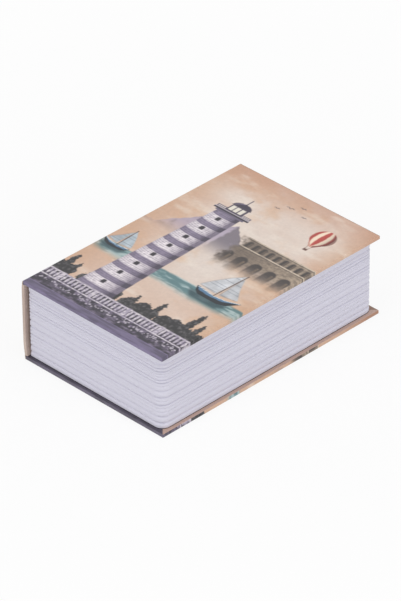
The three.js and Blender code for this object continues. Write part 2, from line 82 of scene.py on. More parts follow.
def add_camera():
    lens = bpy.data.cameras.new("camera")
    lens.lens = LENS_MM
    lens.sensor_width = FILM_MM
    lens.clip_end = 20.0
    camera = bpy.data.objects.new("camera", lens)
    bpy.context.scene.collection.objects.link(camera)
    up = CAMERA_RIGHT.cross(CAMERA_LOOK)
    turn = Matrix((CAMERA_RIGHT, up, -CAMERA_LOOK)).transposed()
    camera.matrix_world = Matrix.Translation(CAMERA_PLACE) @ turn.to_4x4()
    bpy.context.scene.camera = camera


add_camera()
print("the camera is", round(CAMERA_PLACE.length, 2), "m away")

# %% [markdown]
# ## Nodes and colours
# Colours are written as they look on screen, in hex, and turned into the linear values that shaders use.
# One small function adds a node, sets it and links it, and every material is made with it.

# %% Helpers for materials


def shade(hex_colour):
    """A screen colour such as #c9a791 as red, green and blue from 0 to 1."""
    return np.array([int(hex_colour[i:i + 2], 16) / 255 for i in (1, 3, 5)])


def to_linear(values):
    """The values that shaders use for screen values, by the sRGB curve."""
    return np.where(values <= 0.04045, values / 12.92, ((values + 0.055) / 1.055) ** 2.4)


def linear(hex_colour):
    return (*to_linear(shade(hex_colour)), 1.0)


def node(tree, kind, settings=None, inputs=None):
    """A node of that kind. A tuple of (node, output name) in inputs is a link, and anything else is a
    value."""
    made = tree.nodes.new(kind)
    for name, value in (settings or {}).items():
        setattr(made, name, value)
    for name, value in (inputs or {}).items():
        if isinstance(value, tuple) and isinstance(value[0], bpy.types.Node):
            tree.links.new(value[0].outputs[value[1]], made.inputs[name])
        else:
            made.inputs[name].default_value = value
    return made


def new_material(name, base, roughness, metallic=0.0, **more):
    material = bpy.data.materials.new(name)
    material.use_nodes = True
    tree = material.node_tree
    tree.nodes.clear()
    inputs = {"Base Color": linear(base), "Roughness": roughness, "Metallic": metallic, **more}
    shader = node(tree, "ShaderNodeBsdfPrincipled", inputs=inputs)
    node(tree, "ShaderNodeOutputMaterial", inputs={"Surface": (shader, "BSDF")})
    return material, tree, shader


def grain(tree, size_mm, detail=2.0, stretch=(1.0, 1.0, 1.0)):
    """A pattern of spots about size_mm across, before the stretch."""
    place = node(tree, "ShaderNodeTexCoord")
    drawn_out = node(tree, "ShaderNodeMapping", inputs={"Vector": (place, "Object"), "Scale": stretch})
    inputs = {"Vector": (drawn_out, "Vector"), "Scale": 1.0 / (size_mm * MM), "Detail": detail}
    return node(tree, "ShaderNodeTexNoise", inputs=inputs)


def tint(tree, shader, pattern, *stops):
    """Colours the surface by the pattern. Each stop is a place from 0 to 1 and a hex colour."""
    tone = node(tree, "ShaderNodeValToRGB", inputs={"Fac": (pattern, "Fac")})
    points = tone.color_ramp.elements
    while len(points) < len(stops):
        points.new(0.5)
    for point, (place, colour) in zip(points, stops):
        point.position = place
        point.color = linear(colour)
    tree.links.new(tone.outputs["Color"], shader.inputs["Base Color"])


def vary_gloss(tree, shader, pattern, low, high):
    """Spreads the roughness between two values by the pattern."""
    inputs = {"Value": (pattern, "Fac"), "To Min": low, "To Max": high}
    rough = node(tree, "ShaderNodeMapRange", inputs=inputs)
    tree.links.new(rough.outputs["Result"], shader.inputs["Roughness"])


def relief(tree, shader, pattern, depth_mm, strength=1.0):
    inputs = {"Height": (pattern, "Fac"), "Distance": depth_mm * MM, "Strength": strength}
    bump = node(tree, "ShaderNodeBump", inputs=inputs)
    tree.links.new(bump.outputs["Normal"], shader.inputs["Normal"])


# %% [markdown]
# ## The finishes
# Each is named for what it is on the real thing and how its surface was made.

# %% Laminated print
# Offset print on art paper under a satin film. The film gives an even, soft sheen, and the board below
# shows through as a faint waviness, 2 mm or so across. The picture is in the mesh, as a colour on each
# point.
def laminated_print():
    material, tree, shader = new_material("laminated_print", "#c9a791", 0.36)
    picture = node(tree, "ShaderNodeAttribute", {"attribute_name": "print"})
    dots = grain(tree, 0.35, 3.0)
    tone = node(tree, "ShaderNodeMapRange", inputs={"Value": (dots, "Fac"), "To Min": 0.94, "To Max": 1.05})
    inputs = {0: (picture, "Color"), "Scale": (tone, "Result")}
    toned = node(tree, "ShaderNodeVectorMath", {"operation": "SCALE"}, inputs)
    tree.links.new(toned.outputs["Vector"], shader.inputs["Base Color"])
    relief(tree, shader, grain(tree, 2.2), 0.012, 0.5)
    return material


# %% Board and lining
# Grey board is pressed waste paper: dull, with paler and darker fibres under a millimetre long.
def grey_board():
    material, tree, shader = new_material("pressed_greyboard", "#8d8a84", 0.95)
    fibres = grain(tree, 0.5, 4.0)
    tint(tree, shader, fibres, (0.3, "#77736c"), (0.55, "#8f8b84"), (0.75, "#a7a39b"))
    relief(tree, shader, fibres, 0.03)
    return material


# Uncoated lining paper, dyed through: matt, with a fine tooth.
def lining_paper():
    material, tree, shader = new_material("dyed_lining_paper", "#2b2a2c", 0.82)
    tooth = grain(tree, 0.3, 4.0)
    tint(tree, shader, tooth, (0.3, "#252427"), (0.7, "#323134"))
    relief(tree, shader, tooth, 0.02)
    return material


# %% Moulded leaves
# Injection-moulded white ABS with a satin skin, a little blue. The tool was cut with fine lines along the
# leaves, so the sheen is drawn out sideways. Spots stretched this far are level lines all round the block.
LEVEL = (0.0004, 0.0004, 1.0)


def moulded_white():
    material, tree, shader = new_material("moulded_white_abs", "#d4d2df", 0.45)
    leaves = grain(tree, 1.6, 1.0, LEVEL)
    tint(tree, shader, leaves, (0.3, "#d0cedb"), (0.5, "#d4d2df"), (0.7, "#d7d5e2"))
    relief(tree, shader, grain(tree, 0.3, 1.0, LEVEL), 0.004, 0.12)
    return material


# %% Metals
# Powder coat is sprayed as dust and baked: a black skin with a low, even pebble about 0.4 mm across.
def powder_coat():
    material, tree, shader = new_material("black_powder_coat", "#1f2022", 0.42)
    pebble = grain(tree, 0.4)
    vary_gloss(tree, shader, pebble, 0.36, 0.5)
    relief(tree, shader, pebble, 0.03, 0.7)
    return material


# Bright zinc plate over rolled steel: pale grey, a little cloudy, with fine drawn lines.
def zinc_plate():
    material, tree, shader = new_material("zinc_plate", "#b9bbbd", 0.32, 1.0)
    tint(tree, shader, grain(tree, 3.0, 4.0), (0.3, "#a9abac"), (0.6, "#bfc1c3"), (0.8, "#c9c9c4"))
    lines = grain(tree, 0.12, 2.0, (1.0, 0.04, 1.0))
    vary_gloss(tree, shader, lines, 0.24, 0.42)
    return material


# Bright nickel on the turned lock: nearly a mirror, softened by handling marks.
def nickel_plate():
    material, tree, shader = new_material("nickel_plate", "#d0cdc6", 0.16, 1.0)
    vary_gloss(tree, shader, grain(tree, 1.2, 5.0), 0.08, 0.26)
    return material


# The plug is turned brass, left as it came off the lathe.
def turned_brass():
    material, tree, shader = new_material("turned_brass", "#c9a667", 0.28, 1.0)
    tint(tree, shader, grain(tree, 1.5, 4.0), (0.35, "#b48e50"), (0.65, "#cfae70"))
    return material


LAMINATED_PRINT = laminated_print()
FINISH = {
    "printed_paper": LAMINATED_PRINT,
    "spine_paper": LAMINATED_PRINT,
    "greyboard": grey_board(),
    "lining_paper": lining_paper(),
    "white_plastic": moulded_white(),
    "black_steel": powder_coat(),
    "zinc_steel": zinc_plate(),
    "nickel": nickel_plate(),
    "lock_brass": turned_brass(),
}
print("finishes:", ", ".join(sorted({material.name for material in FINISH.values()})))

# %% [markdown]
# ## Dress the nodes that keep their shape
# Board, lining, pin and small fittings are right as they are, so they only take their finish.

# %% Dress the nodes
SLOT_OF = {part["node"]: part["material_slot"] for part in frame["record"]["subparts"]}
BODY_OF = {name: body for body, names in frame["record"]["behaviour"]["bodies"].items() for name in names}

for name, piece in frame["nodes"].items():
    piece.data.materials.clear()
    piece.data.materials.append(FINISH[SLOT_OF[name]])
print(len(frame["nodes"]), "nodes have their finish")

# %% [markdown]
# ## Floor and light
# The photograph is lit softly from all round, on pure white. A pale floor that the camera sees as white
# keeps a faint shadow round the book and is plain white away from it. Large soft lamps stand on both sides
# of the camera.

# %% Floor, lamps and world
FLOOR_SIZE = 12.0
FLOOR_WHITE_SHARE = 0.86
FLOOR_FADE = (0.14, 0.7)
WORLD_STRENGTH = 0.62
WHITE = (1.0, 1.0, 1.0, 1.0)
LAMPS = (
    ("over", (0.3, -0.3, 2.2), 1.6, 8.0),
    ("fore_edge_side", (2.2, 0.4, 1.1), 1.4, 12.0),
    ("tail_side", (-0.2, -2.2, 1.1), 1.4, 12.0),
)


def seen_share(tree, share):
    """The share where the camera sees a surface or the world, or sees it in metal or through glass, and 0
    for the rest of the light."""
    path = node(tree, "ShaderNodeLightPath")
    seen = (path, "Is Camera Ray")
    for ray in ("Is Glossy Ray", "Is Transmission Ray"):
        seen = (node(tree, "ShaderNodeMath", {"operation": "MAXIMUM"}, {0: seen, 1: (path, ray)}), "Value")
    return node(tree, "ShaderNodeMath", {"operation": "MULTIPLY"}, {0: seen, 1: share})


def studio():
    world = bpy.data.worlds.new("studio")
    bpy.context.scene.world = world
    world.use_nodes = True
    tree = world.node_tree
    tree.nodes.clear()
    seen = seen_share(tree, 1.0)
    light = node(tree, "ShaderNodeBackground", inputs={"Color": WHITE, "Strength": WORLD_STRENGTH})
    white = node(tree, "ShaderNodeBackground", inputs={"Color": WHITE, "Strength": 1.0})
    inputs = {"Fac": (seen, "Value"), 1: (light, "Background"), 2: (white, "Background")}
    mix = node(tree, "ShaderNodeMixShader", inputs=inputs)
    node(tree, "ShaderNodeOutputWorld", inputs={"Surface": (mix, "Shader")})


def add_lamp(name, place, size, watts):
    """A round soft lamp, size metres across, turned towards the book."""
    data = bpy.data.lights.new(name, "AREA")
    data.shape = "DISK"
    data.size = size
    data.energy = watts
    lamp = bpy.data.objects.new(name, data)
    bpy.context.scene.collection.objects.link(lamp)
    lamp.location = place
    lamp.rotation_euler = (-Vector(place)).to_track_quat("-Z", "Y").to_euler()


def add_floor():
    bpy.ops.object.select_all(action="DESELECT")
    bpy.ops.mesh.primitive_plane_add(size=FLOOR_SIZE, location=(0, 0, 0))
    floor = bpy.context.object
    floor.name = "floor"
    material, tree, shader = new_material("white_paper_sweep", "#f4f4f4", 0.9)
    glow = node(tree, "ShaderNodeEmission", inputs={"Color": WHITE, "Strength": 1.0})
    place = node(tree, "ShaderNodeTexCoord")
    away = node(tree, "ShaderNodeVectorMath", {"operation": "LENGTH"}, {0: (place, "Object")})
    near, far = FLOOR_FADE
    spread = {"From Min": near, "From Max": far, "To Min": FLOOR_WHITE_SHARE, "To Max": 1.0}
    white_share = node(tree, "ShaderNodeMapRange", inputs={"Value": (away, "Value"), **spread})
    share = seen_share(tree, (white_share, "Result"))
    inputs = {"Fac": (share, "Value"), 1: (shader, "BSDF"), 2: (glow, "Emission")}
    mix = node(tree, "ShaderNodeMixShader", inputs=inputs)
    tree.links.new(mix.outputs["Shader"], tree.nodes["Material Output"].inputs["Surface"])
    floor.data.materials.append(material)


studio()
add_floor()
for lamp in LAMPS:
    add_lamp(*lamp)
print("lamps:", ", ".join(lamp[0] for lamp in LAMPS))

# %% [markdown]
# ## Wrapped boards
# A cover is one sheet of printed paper glued round a board: over the three free edges and 4 mm in on the
# inside. It can be made as a bookbinder does it, from a flat sheet whose border is folded down and in. The
# sheet needs a fine grid, because the picture is kept as a colour on each point, and the fold is a few
# rings of the border, extruded and drawn in.

# %% Sizes of the case, read from the model
COVER_LOW, COVER_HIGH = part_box("front_wrap")
COVER_LENGTH = COVER_HIGH.y - COVER_LOW.y
COVER_DEPTH = COVER_HIGH.z - COVER_LOW.z
PAPER = COVER_HIGH.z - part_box("front_board")[1].z
TURN_IN = COVER_HIGH.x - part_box("front_lining")[1].x
SPINE_LOW, SPINE_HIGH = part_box("spine_wrap")
PRINT_STEP = 0.5 * MM
EDGE_ROUND = 0.3 * MM
EDGE_STEPS = 4
NEAR = 1e-6
print("cover is", round(COVER_LENGTH / MM, 2), "mm long and its paper", round(PAPER / MM, 3), "mm thick")

# %% Helpers for modelling


def select_only(piece=None):
    """Deselects everything, which every new primitive needs, and selects the piece if there is one."""
    bpy.ops.object.select_all(action="DESELECT")
    if piece is not None:
        piece.select_set(True)
        bpy.context.view_layer.objects.active = piece


def start_edit(piece, kind):
    """The piece's mesh in edit mode with nothing selected, to select by VERT or by EDGE."""
    bpy.ops.object.mode_set(mode="EDIT")
    bpy.ops.mesh.select_mode(type=kind)
    bpy.ops.mesh.select_all(action="DESELECT")
    return bmesh.from_edit_mesh(piece.data)


def end_edit():
    """Turns all faces outwards and leaves edit mode."""
    bpy.ops.mesh.select_all(action="SELECT")
    bpy.ops.mesh.normals_make_consistent(inside=False)
    bpy.ops.object.mode_set(mode="OBJECT")


def apply_modifier(piece, name, kind, **settings):
    select_only(piece)
    modifier = piece.modifiers.new(name, kind)
    for key, value in settings.items():
        setattr(modifier, key, value)
    bpy.ops.object.modifier_apply(modifier=modifier.name)


def quarter_turn(steps):
    """For an edge rounded in steps, the share that it has gone in and the share that is left of its
    height."""
    turns = [math.pi / 2 * step / steps for step in range(steps + 1)]
    return [(1 - math.cos(turn), 1 - math.sin(turn)) for turn in turns]


# %% Fold a sheet round a board


def fold_rings(depth):
    """Each ring of the fold: how far in from the edge, how far down, how far along the paper from the
    flat."""
    arc = math.pi / 2 * EDGE_ROUND
    side = arc + depth - 2 * EDGE_ROUND
    outer = side + arc
    curve = quarter_turn(EDGE_STEPS)
    rounds = [(gone, left, arc * step / EDGE_STEPS) for step, (gone, left) in enumerate(curve)]
    rings = [(EDGE_ROUND * left, EDGE_ROUND * gone, along) for gone, left, along in rounds[1:]]
    rings += [(EDGE_ROUND * gone, depth - EDGE_ROUND * left, side + along) for gone, left, along in rounds]
    rings.append((TURN_IN / 2, depth, outer + TURN_IN / 2 - EDGE_ROUND))
    rings.append((TURN_IN, depth, outer + TURN_IN - EDGE_ROUND))
    rings.append((TURN_IN, depth - PAPER, outer + TURN_IN))
    rings.append((PAPER, depth - PAPER, outer + TURN_IN))
    rings.append((PAPER, PAPER, outer + TURN_IN))
    return rings


def close_ends(mesh_edit, width, far_side_folds):
    """Closes the open ends of the folded sheet, then the inside, which lies against the board."""
    def point_at(x, y, z):
        return min(mesh_edit.verts, key=lambda v: (v.co - Vector((x, y, z))).length_squared)

    inner_y = max(v.co.y for v in mesh_edit.verts) - PAPER
    ends = [0.0] if far_side_folds else [0.0, width]
    for x in ends:
        pair = [point_at(x, -inner_y, -PAPER), point_at(x, inner_y, -PAPER)]
        mesh_edit.edges.new(pair)
    for x in ends:
        bpy.ops.mesh.select_all(action="DESELECT")
        for edge in mesh_edit.edges:
            flat = all(abs(v.co.x - x) < NEAR for v in edge.verts)
            edge.select_set(flat and len(edge.link_faces) < 2)
        bpy.ops.mesh.edge_face_add()
    bpy.ops.mesh.select_all(action="DESELECT")
    for edge in mesh_edit.edges:
        edge.select_set(len(edge.link_faces) == 1)
    bpy.ops.mesh.edge_face_add()


def folded_sheet(width, length, depth, far_side_folds, step=PRINT_STEP):
    """A sheet over a board, face up at Z = 0, with its joint side at X = 0. Returns it and each point's
    place on the unfolded sheet, in metres, or nothing for the points inside."""
    flat_width = width - EDGE_ROUND if far_side_folds else width
    flat_length = length - 2 * EDGE_ROUND
    columns, rows = round(flat_width / step), round(flat_length / step)
    select_only()
    bpy.ops.mesh.primitive_grid_add(x_subdivisions=columns, y_subdivisions=rows, size=1, location=(0, 0, 0))
    sheet = bpy.context.object
    sheet.scale = (flat_width, flat_length, 1)
    sheet.location = (flat_width / 2, 0, 0)
    bpy.ops.object.transform_apply()
    mesh_edit = start_edit(sheet, "EDGE")

    def on_border(v):
        ends = abs(abs(v.co.y) - flat_length / 2) < NEAR
        return ends, far_side_folds and abs(v.co.x - flat_width) < NEAR

    for edge in mesh_edit.edges:
        (end_a, far_a), (end_b, far_b) = (on_border(v) for v in edge.verts)
        edge.select_set((end_a and end_b or far_a and far_b) and len(edge.link_faces) == 1)
    counts = [len(mesh_edit.verts)]
    rings = fold_rings(depth)
    inset, drop = EDGE_ROUND, 0.0
    for next_inset, next_drop, _ in rings:
        bpy.ops.mesh.extrude_edges_move()
        far = (width - next_inset) / (width - inset) if far_side_folds else 1
        long = (length / 2 - next_inset) / (length / 2 - inset)
        bpy.ops.transform.resize(value=(far, long, 1), center_override=(0, 0, 0))
        bpy.ops.transform.translate(value=(0, 0, drop - next_drop))
        inset, drop = next_inset, next_drop
        mesh_edit = bmesh.from_edit_mesh(sheet.data)
        counts.append(len(mesh_edit.verts))
    close_ends(mesh_edit, width, far_side_folds)
    end_edit()
    return sheet, unfolded(sheet, rings, counts, width, length, far_side_folds)


def points_of(piece):
    points = np.empty(len(piece.data.vertices) * 3, np.float32)
    piece.data.vertices.foreach_get("co", points)
    return points.reshape(-1, 3).astype(float)


def unfolded(sheet, rings, counts, width, length, far_side_folds):
    """Where each point lies on the flat sheet: how far from the joint side, and how far towards the
    head."""
    points = points_of(sheet)
    flat = points[:, :2].copy()
    inside = np.zeros(len(points), bool)
    border_x, border_y = width - EDGE_ROUND, length / 2 - EDGE_ROUND
    for (inset, _, along), start, stop in zip(rings, counts, counts[1:]):
        part = flat[start:stop]
        if far_side_folds:
            part[:, 0] *= border_x / (width - inset)
            far = part[:, 0] > border_x - NEAR
            part[far, 0] = border_x + along
        part[:, 1] *= border_y / (length / 2 - inset)
        ends = abs(part[:, 1]) > border_y - NEAR
        part[ends, 1] = np.sign(part[ends, 1]) * (border_y + along)
    inside[counts[-3]:] = True
    return flat, inside


# %% [markdown]
# ## The picture
# The sky is laid in first as warm washes, then hills, a stone viaduct, a lighthouse and sailing boats, and
# last a dark band of trees over plum ground at the tail. All of it is drawn by formula on a sheet of
# samples a quarter of a millimetre apart, and each point of a cover then looks up its own colour.

# %% Sheet of samples
SAMPLE = 0.25
SHEET_U = (-6.0, 124.0)
SHEET_V = (-98.0, 98.0)
U, V = np.meshgrid(np.arange(*SHEET_U, SAMPLE), np.arange(*SHEET_V, SAMPLE))
OCTAVE_FADE = 0.55
EDGE_BLUR = 0.25


def mixed(dark, pale, share):
    """A sheet of colours, from the dark one where the share is 0 to the pale one where it is 1."""
    return shade(dark) + (shade(pale) - shade(dark)) * share[..., None]


def between_four(grid, i, j, fx, fy):
    """The value at a place in a grid, from the four points round it."""
    low = grid[j, i] * (1 - fx) + grid[j, i + 1] * fx
    high = grid[j + 1, i] * (1 - fx) + grid[j + 1, i + 1] * fx
    return low * (1 - fy) + high * fy


def washes(size, seed, octaves=4, stretch=1.0):
    """Soft blotches about size mm across, from 0 to 1, wider than tall where stretch is over 1."""
    total = np.zeros_like(U)
    weight = 1.0
    whole = 0.0
    for octave in range(octaves):
        step = size / 2 ** octave
        x = (U - SHEET_U[0]) / (step * stretch)
        y = (V - SHEET_V[0]) / step
        draw = np.random.default_rng(seed * 31 + octave)
        dots = draw.random((int(y.max()) + 3, int(x.max()) + 3))
        i, j = x.astype(int), y.astype(int)
        fx, fy = x - i, y - j
        fx, fy = fx * fx * (3 - 2 * fx), fy * fy * (3 - 2 * fy)
        total += weight * between_four(dots, i, j, fx, fy)
        whole += weight
        weight *= OCTAVE_FADE
    return total / whole


def step_up(values, low, high):
    """0 where the values are under low and 1 where they are over high, with a smooth step between."""
    share = np.clip((values - low) / (high - low), 0, 1)
    return share * share * (3 - 2 * share)


def within(values, low, high, blur):
    """1 where the values lie between low and high, with steps blur wide inside both ends."""
    return step_up(values, low, low + blur) * step_up(-values, -high, blur - high)


def line_at(away, inner, outer):
    """1 up to inner from a line and 0 past outer."""
    return step_up(-abs(away), -outer, -inner)


def lay(sheet, mask, colour, strength=1.0):
    """Puts a hex colour, or a sheet of colours, on the picture where the mask says."""
    if isinstance(colour, str):
        colour = shade(colour)
    share = (np.clip(mask, 0, 1) * strength)[..., None]
    sheet[:] = sheet * (1 - share) + colour * share


def soften(values, size):
    """A blur of about size mm, by three passes of a running mean."""
    reach = max(1, round(size / SAMPLE))
    for _ in range(3):
        for axis in (0, 1):
            padded = np.concatenate([np.repeat(np.take(values, [0], axis), reach, axis), values,
                                     np.repeat(np.take(values, [-1], axis), reach, axis)], axis)
            sums = np.cumsum(padded, axis)
            window = 2 * reach
            upper = np.take(sums, range(window, sums.shape[axis]), axis)
            lower = np.take(sums, range(0, sums.shape[axis] - window), axis)
            values = (upper - lower) / window
    return values


def inside_outline(points):
    """1 inside the outline and 0 outside, with an edge one sample wide."""
    points = np.array(points, float)
    low, high = points.min(0) - 1, points.max(0) + 1
    rows = slice(*np.searchsorted(V[:, 0], (low[1], high[1])))
    columns = slice(*np.searchsorted(U[0], (low[0], high[0])))
    x, y = U[rows, columns], V[rows, columns]
    odd = np.zeros(x.shape, bool)
    nearest = np.full(x.shape, 1e9)
    for (ax, ay), (bx, by) in zip(points, np.roll(points, -1, 0)):
        crosses = (ay > y) != (by > y)
        with np.errstate(divide="ignore", invalid="ignore"):
            odd ^= crosses & (x < ax + (y - ay) * (bx - ax) / (by - ay if by != ay else 1e-9))
        dx, dy = bx - ax, by - ay
        share = np.clip(((x - ax) * dx + (y - ay) * dy) / (dx * dx + dy * dy + 1e-12), 0, 1)
        nearest = np.minimum(nearest, np.hypot(x - ax - share * dx, y - ay - share * dy))
    mask = np.zeros_like(U)
    mask[rows, columns] = np.clip(0.5 + np.where(odd, nearest, -nearest) / SAMPLE, 0, 1)
    return mask


def stroke(points, width):
    """A brush line along the points."""
    mask = np.zeros_like(U)
    for (ax, ay), (bx, by) in zip(points, points[1:]):
        dx, dy = bx - ax, by - ay
        share = np.clip(((U - ax) * dx + (V - ay) * dy) / (dx * dx + dy * dy), 0, 1)
        away = np.hypot(U - ax - share * dx, V - ay - share * dy)
        mask = np.maximum(mask, np.clip(0.5 + (width / 2 - away) / SAMPLE, 0, 1))
    return mask


# %% Sky, hills and birds
HILLS = 8
BIRD_LINE = 0.45


def paint_sky(seed):
    clouds = washes(46, seed, 5, 1.5)
    patches = washes(22, seed + 1, 5, 1.3)
    sheet = np.zeros(U.shape + (3,)) + shade("#d8b7a2")
    lay(sheet, step_up(clouds, 0.42, 0.7), "#e6d3c6")
    middle = np.exp(-((U - 70) / 38) ** 2 - ((V - 10) / 60) ** 2)
    lay(sheet, middle, "#e4d7ce", 0.85)
    lay(sheet, step_up(patches, 0.5, 0.72), "#d8ac88", 0.5)
    edge = np.maximum(step_up(-U, -26, 2), step_up(U, 98, 122))
    lay(sheet, edge, "#cca283", 0.6)
    lay(sheet, step_up(V, 58, 98), "#c3937a", 0.75)
    lay(sheet, step_up(washes(8, seed + 2, 4, 2.5), 0.52, 0.8), "#f3e8dc", 0.4)
    paper = washes(1.2, seed + 3, 2)
    sheet *= (0.975 + 0.05 * paper)[..., None]
    return sheet


def paint_hills(sheet, seed, foot, peak, colour, strength):
    """Hills with one side in the light, fading into mist at their feet."""
    x = U[0]
    draw = np.random.default_rng(seed)
    ridge = np.full(len(x), 0.1)
    side = np.zeros(len(x))
    for _ in range(HILLS):
        centre = draw.uniform(*SHEET_U)
        height = draw.uniform(0.4, 1.0)
        reach = draw.uniform(30, 52)
        hill = height - abs(x - centre) / reach - 0.25 * (abs(x - centre) / reach) ** 0.5
        side = np.where(hill > ridge, np.sign(x - centre), side)
        ridge = np.maximum(ridge, hill)
    ragged = washes(2.4, seed + 1, 4)[0] + 0.6 * washes(7, seed + 6, 3)[0]
    ridge = foot + (peak - foot) * ridge + 3.0 * (ragged - 0.8)
    mask = step_up(ridge[None, :] - V, 0, 0.5)
    mist = step_up(V, foot - 4, foot + 0.5 * (peak - foot))
    slope = washes(6, seed + 2, 5) - 0.22 * soften(side[None, :] * np.ones_like(U), 0.8)
    tones = shade(colour) * (0.74 + 0.5 * step_up(slope, 0.3, 0.8))[..., None]
    lay(sheet, mask * mist, tones, strength)


def paint_birds(sheet, places):
    for x, y, size in places:
        left = [(x - size, y + size * 0.25), (x - size * 0.5, y + size * 0.5), (x, y)]
        right = [(x, y), (x + size * 0.45, y + size * 0.6), (x + size, y + size * 0.4)]
        lay(sheet, stroke(left + right[1:], BIRD_LINE), "#4f4650", 0.85)


# %% Viaduct


def paint_viaduct(sheet, left, right, foot, tiers, seed):
    """Rows of stone arches over one another, with dark openings, that dissolve into mist at the near
    end."""
    stone = washes(1.8, seed, 4)
    blocks = washes(0.9, seed + 1, 3, 2.2)
    torn = 13 * (washes(5, seed + 4, 4) - 0.5)
    across = step_up(U + torn, left, left + 7) * step_up(-U, -right, 1.2 - right)
    rises = step_up(V + 0.4 * torn, foot, foot + 0.62 * tiers[0][1])
    base = foot
    for period, height, gap in tiers:
        top = base + height
        band = within(V, base, top, 0.3) * across * rises
        light = 0.35 + 0.65 * step_up(U, left, right)
        lay(sheet, band, mixed("#5b4f47", "#c2ae98", np.clip(light * (0.45 + 0.75 * stone), 0, 1.1)))
        centre = np.mod(U - left, period) - period / 2
        half = gap / 2
        spring = base + height * 0.55
        under = (abs(centre) < half) & (V < spring)
        round_top = (np.hypot(centre, V - spring) < half) & (V >= spring)
        opening = soften((under | round_top).astype(float), EDGE_BLUR)
        lay(sheet, opening * band, "#37302f", 0.92)
        far_wall = ((centre > half * 0.3) & (centre < half * 0.75) & (V < spring + 0.6)).astype(float)
        lay(sheet, soften(far_wall, EDGE_BLUR) * opening * band, "#85725f", 0.8)
        lay(sheet, within(V, top - 1.1, top, 0.2) * across, "#dccbb6", 0.85)
        shadow = step_up(V, top - 1.9, top - 1.5) * step_up(-V, 1.1 - top, 1.3 - top) * across
        lay(sheet, shadow, "#3f3733", 0.7)
        lay(sheet, band * step_up(blocks, 0.5, 0.62), "#4a413c", 0.3)
        base = top


# %% Lighthouse
RING_SPACING = 13.4
RING_HEIGHT = 5.4
COURSE_HEIGHT = 1.675
RAIL_SPACING = 1.5
LEVELS = 9


def block_of(left, right, low, high):
    return [(left, low), (right, low), (right, high), (left, high)]


def arc_of(centre, middle, wide, tall, start, sweep, steps):
    """Points on an ellipse, from the angle start on through sweep, both in degrees."""
    turns = [math.radians(start + sweep * step / steps) for step in range(steps + 1)]
    return [(centre + wide * math.cos(turn), middle + tall * math.sin(turn)) for turn in turns]


def lit_round(side):
    """How bright a round body is, from -1 at its left side to 1 at its right, with the light from the
    left."""
    return np.sqrt(np.clip(1 - (side + 0.3) ** 2, 0, 1))


def paint_lighthouse(sheet, centre, foot, top, foot_width, top_width, seed):
    """A tapering round tower in pale and dark rings, with a gallery, a lantern room and a cap."""
    rise = (V - foot) / (top - foot)
    half = (foot_width + (top_width - foot_width) * np.clip(rise, 0, 1) ** 0.8) / 2
    side = (U - centre) / half
    body = step_up(half - abs(U - centre), -0.15, 0.15) * within(V, foot, top, 0.3)
    bright = np.clip((0.3 + 0.7 * lit_round(side)) * (0.8 + 0.4 * washes(1.5, seed, 4)), 0, 1.08)
    lay(sheet, body, mixed("#54495f", "#ece3e8", bright))
    bend = 1.6 * np.sqrt(np.clip(1 - side ** 2, 0, 1))
    rings = within(np.mod(V - foot + bend, RING_SPACING), 0, RING_HEIGHT, 0.3)
    lay(sheet, body * rings, mixed("#2b2533", "#857a92", bright), 0.92)
    courses = line_at(np.mod(V - foot + bend, COURSE_HEIGHT) - 0.84, 0.1, 0.26)
    lay(sheet, body * courses, "#3d3547", 0.32)
    along = np.arcsin(np.clip(side, -1, 1)) * 6 + np.floor(V / COURSE_HEIGHT) * 0.5
    joints = line_at(np.mod(along, 1) - 0.5, 0, 0.07)
    lay(sheet, body * joints * (1 - rings), "#4a4256", 0.25)
    for level in range(LEVELS):
        height = foot + 9.4 + level * RING_SPACING
        across = 0.13 * 12 / half
        window = (abs(side + 0.12) < across) & (abs(V - height) < 1.5)
        arch = (np.hypot((side + 0.12) / across, V - height - 1.5) < 1) & (V >= height + 1.5)
        opening = soften((window | arch).astype(float), EDGE_BLUR) * (V < top - 3)
        lay(sheet, opening * body, "#1f1a24", 0.95)
        ends = [(centre - half.min() * 0.36, height - 1.9), (centre + half.min() * 0.12, height - 1.9)]
        lay(sheet, stroke(ends, 0.5) * body * (height < top - 3), "#f2ebee", 0.8)
    gallery = top_width * 0.74
    for low, high, reach, colour in (
        (-2.6, -1.0, gallery * 0.8, "#6d6478"),
        (-1.0, 0.6, gallery, "#332d3b"),
        (0.6, 1.2, gallery, "#d6ccd4"),
        (1.2, 3.6, gallery * 0.95, "#5a5265"),
    ):
        lay(sheet, inside_outline(block_of(centre - reach, centre + reach, top + low, top + high)), colour)
    rails = line_at(np.mod(U - centre, RAIL_SPACING) - RAIL_SPACING / 2, 0.1, 0.3)
    inner = inside_outline(block_of(centre - gallery * 0.92, centre + gallery * 0.92, top + 1.5, top + 3.2))
    lay(sheet, inner * (1 - rails), "#ded2cb", 0.9)
    room = top_width * 0.34
    lay(sheet, inside_outline(block_of(centre - room, centre + room, top + 1.2, top + 8.5)), "#453d50")
    for share in (-0.86, -0.28, 0.3):
        left = centre + room * share
        pane = inside_outline(block_of(left, left + room * 0.46, top + 2.4, top + 7.8))
        lay(sheet, pane, "#f6efe0", 0.95)
    cap = [(centre - room * 1.3, top + 8.5), (centre + room * 1.3, top + 8.5)]
    lay(sheet, inside_outline(cap + arc_of(centre, top + 8.9, room * 1.1, 4.4, 0, 180, 8)), "#3b3344")
    shine = [(centre - room * share, top + up) for share, up in ((0.9, 9.4), (0.6, 11.6), (0.15, 12.8))]
    lay(sheet, stroke(shine, 0.8), "#8d8399", 0.9)
    lay(sheet, stroke([(centre, top + 12), (centre, top + 19)], 0.6), "#3b3344")


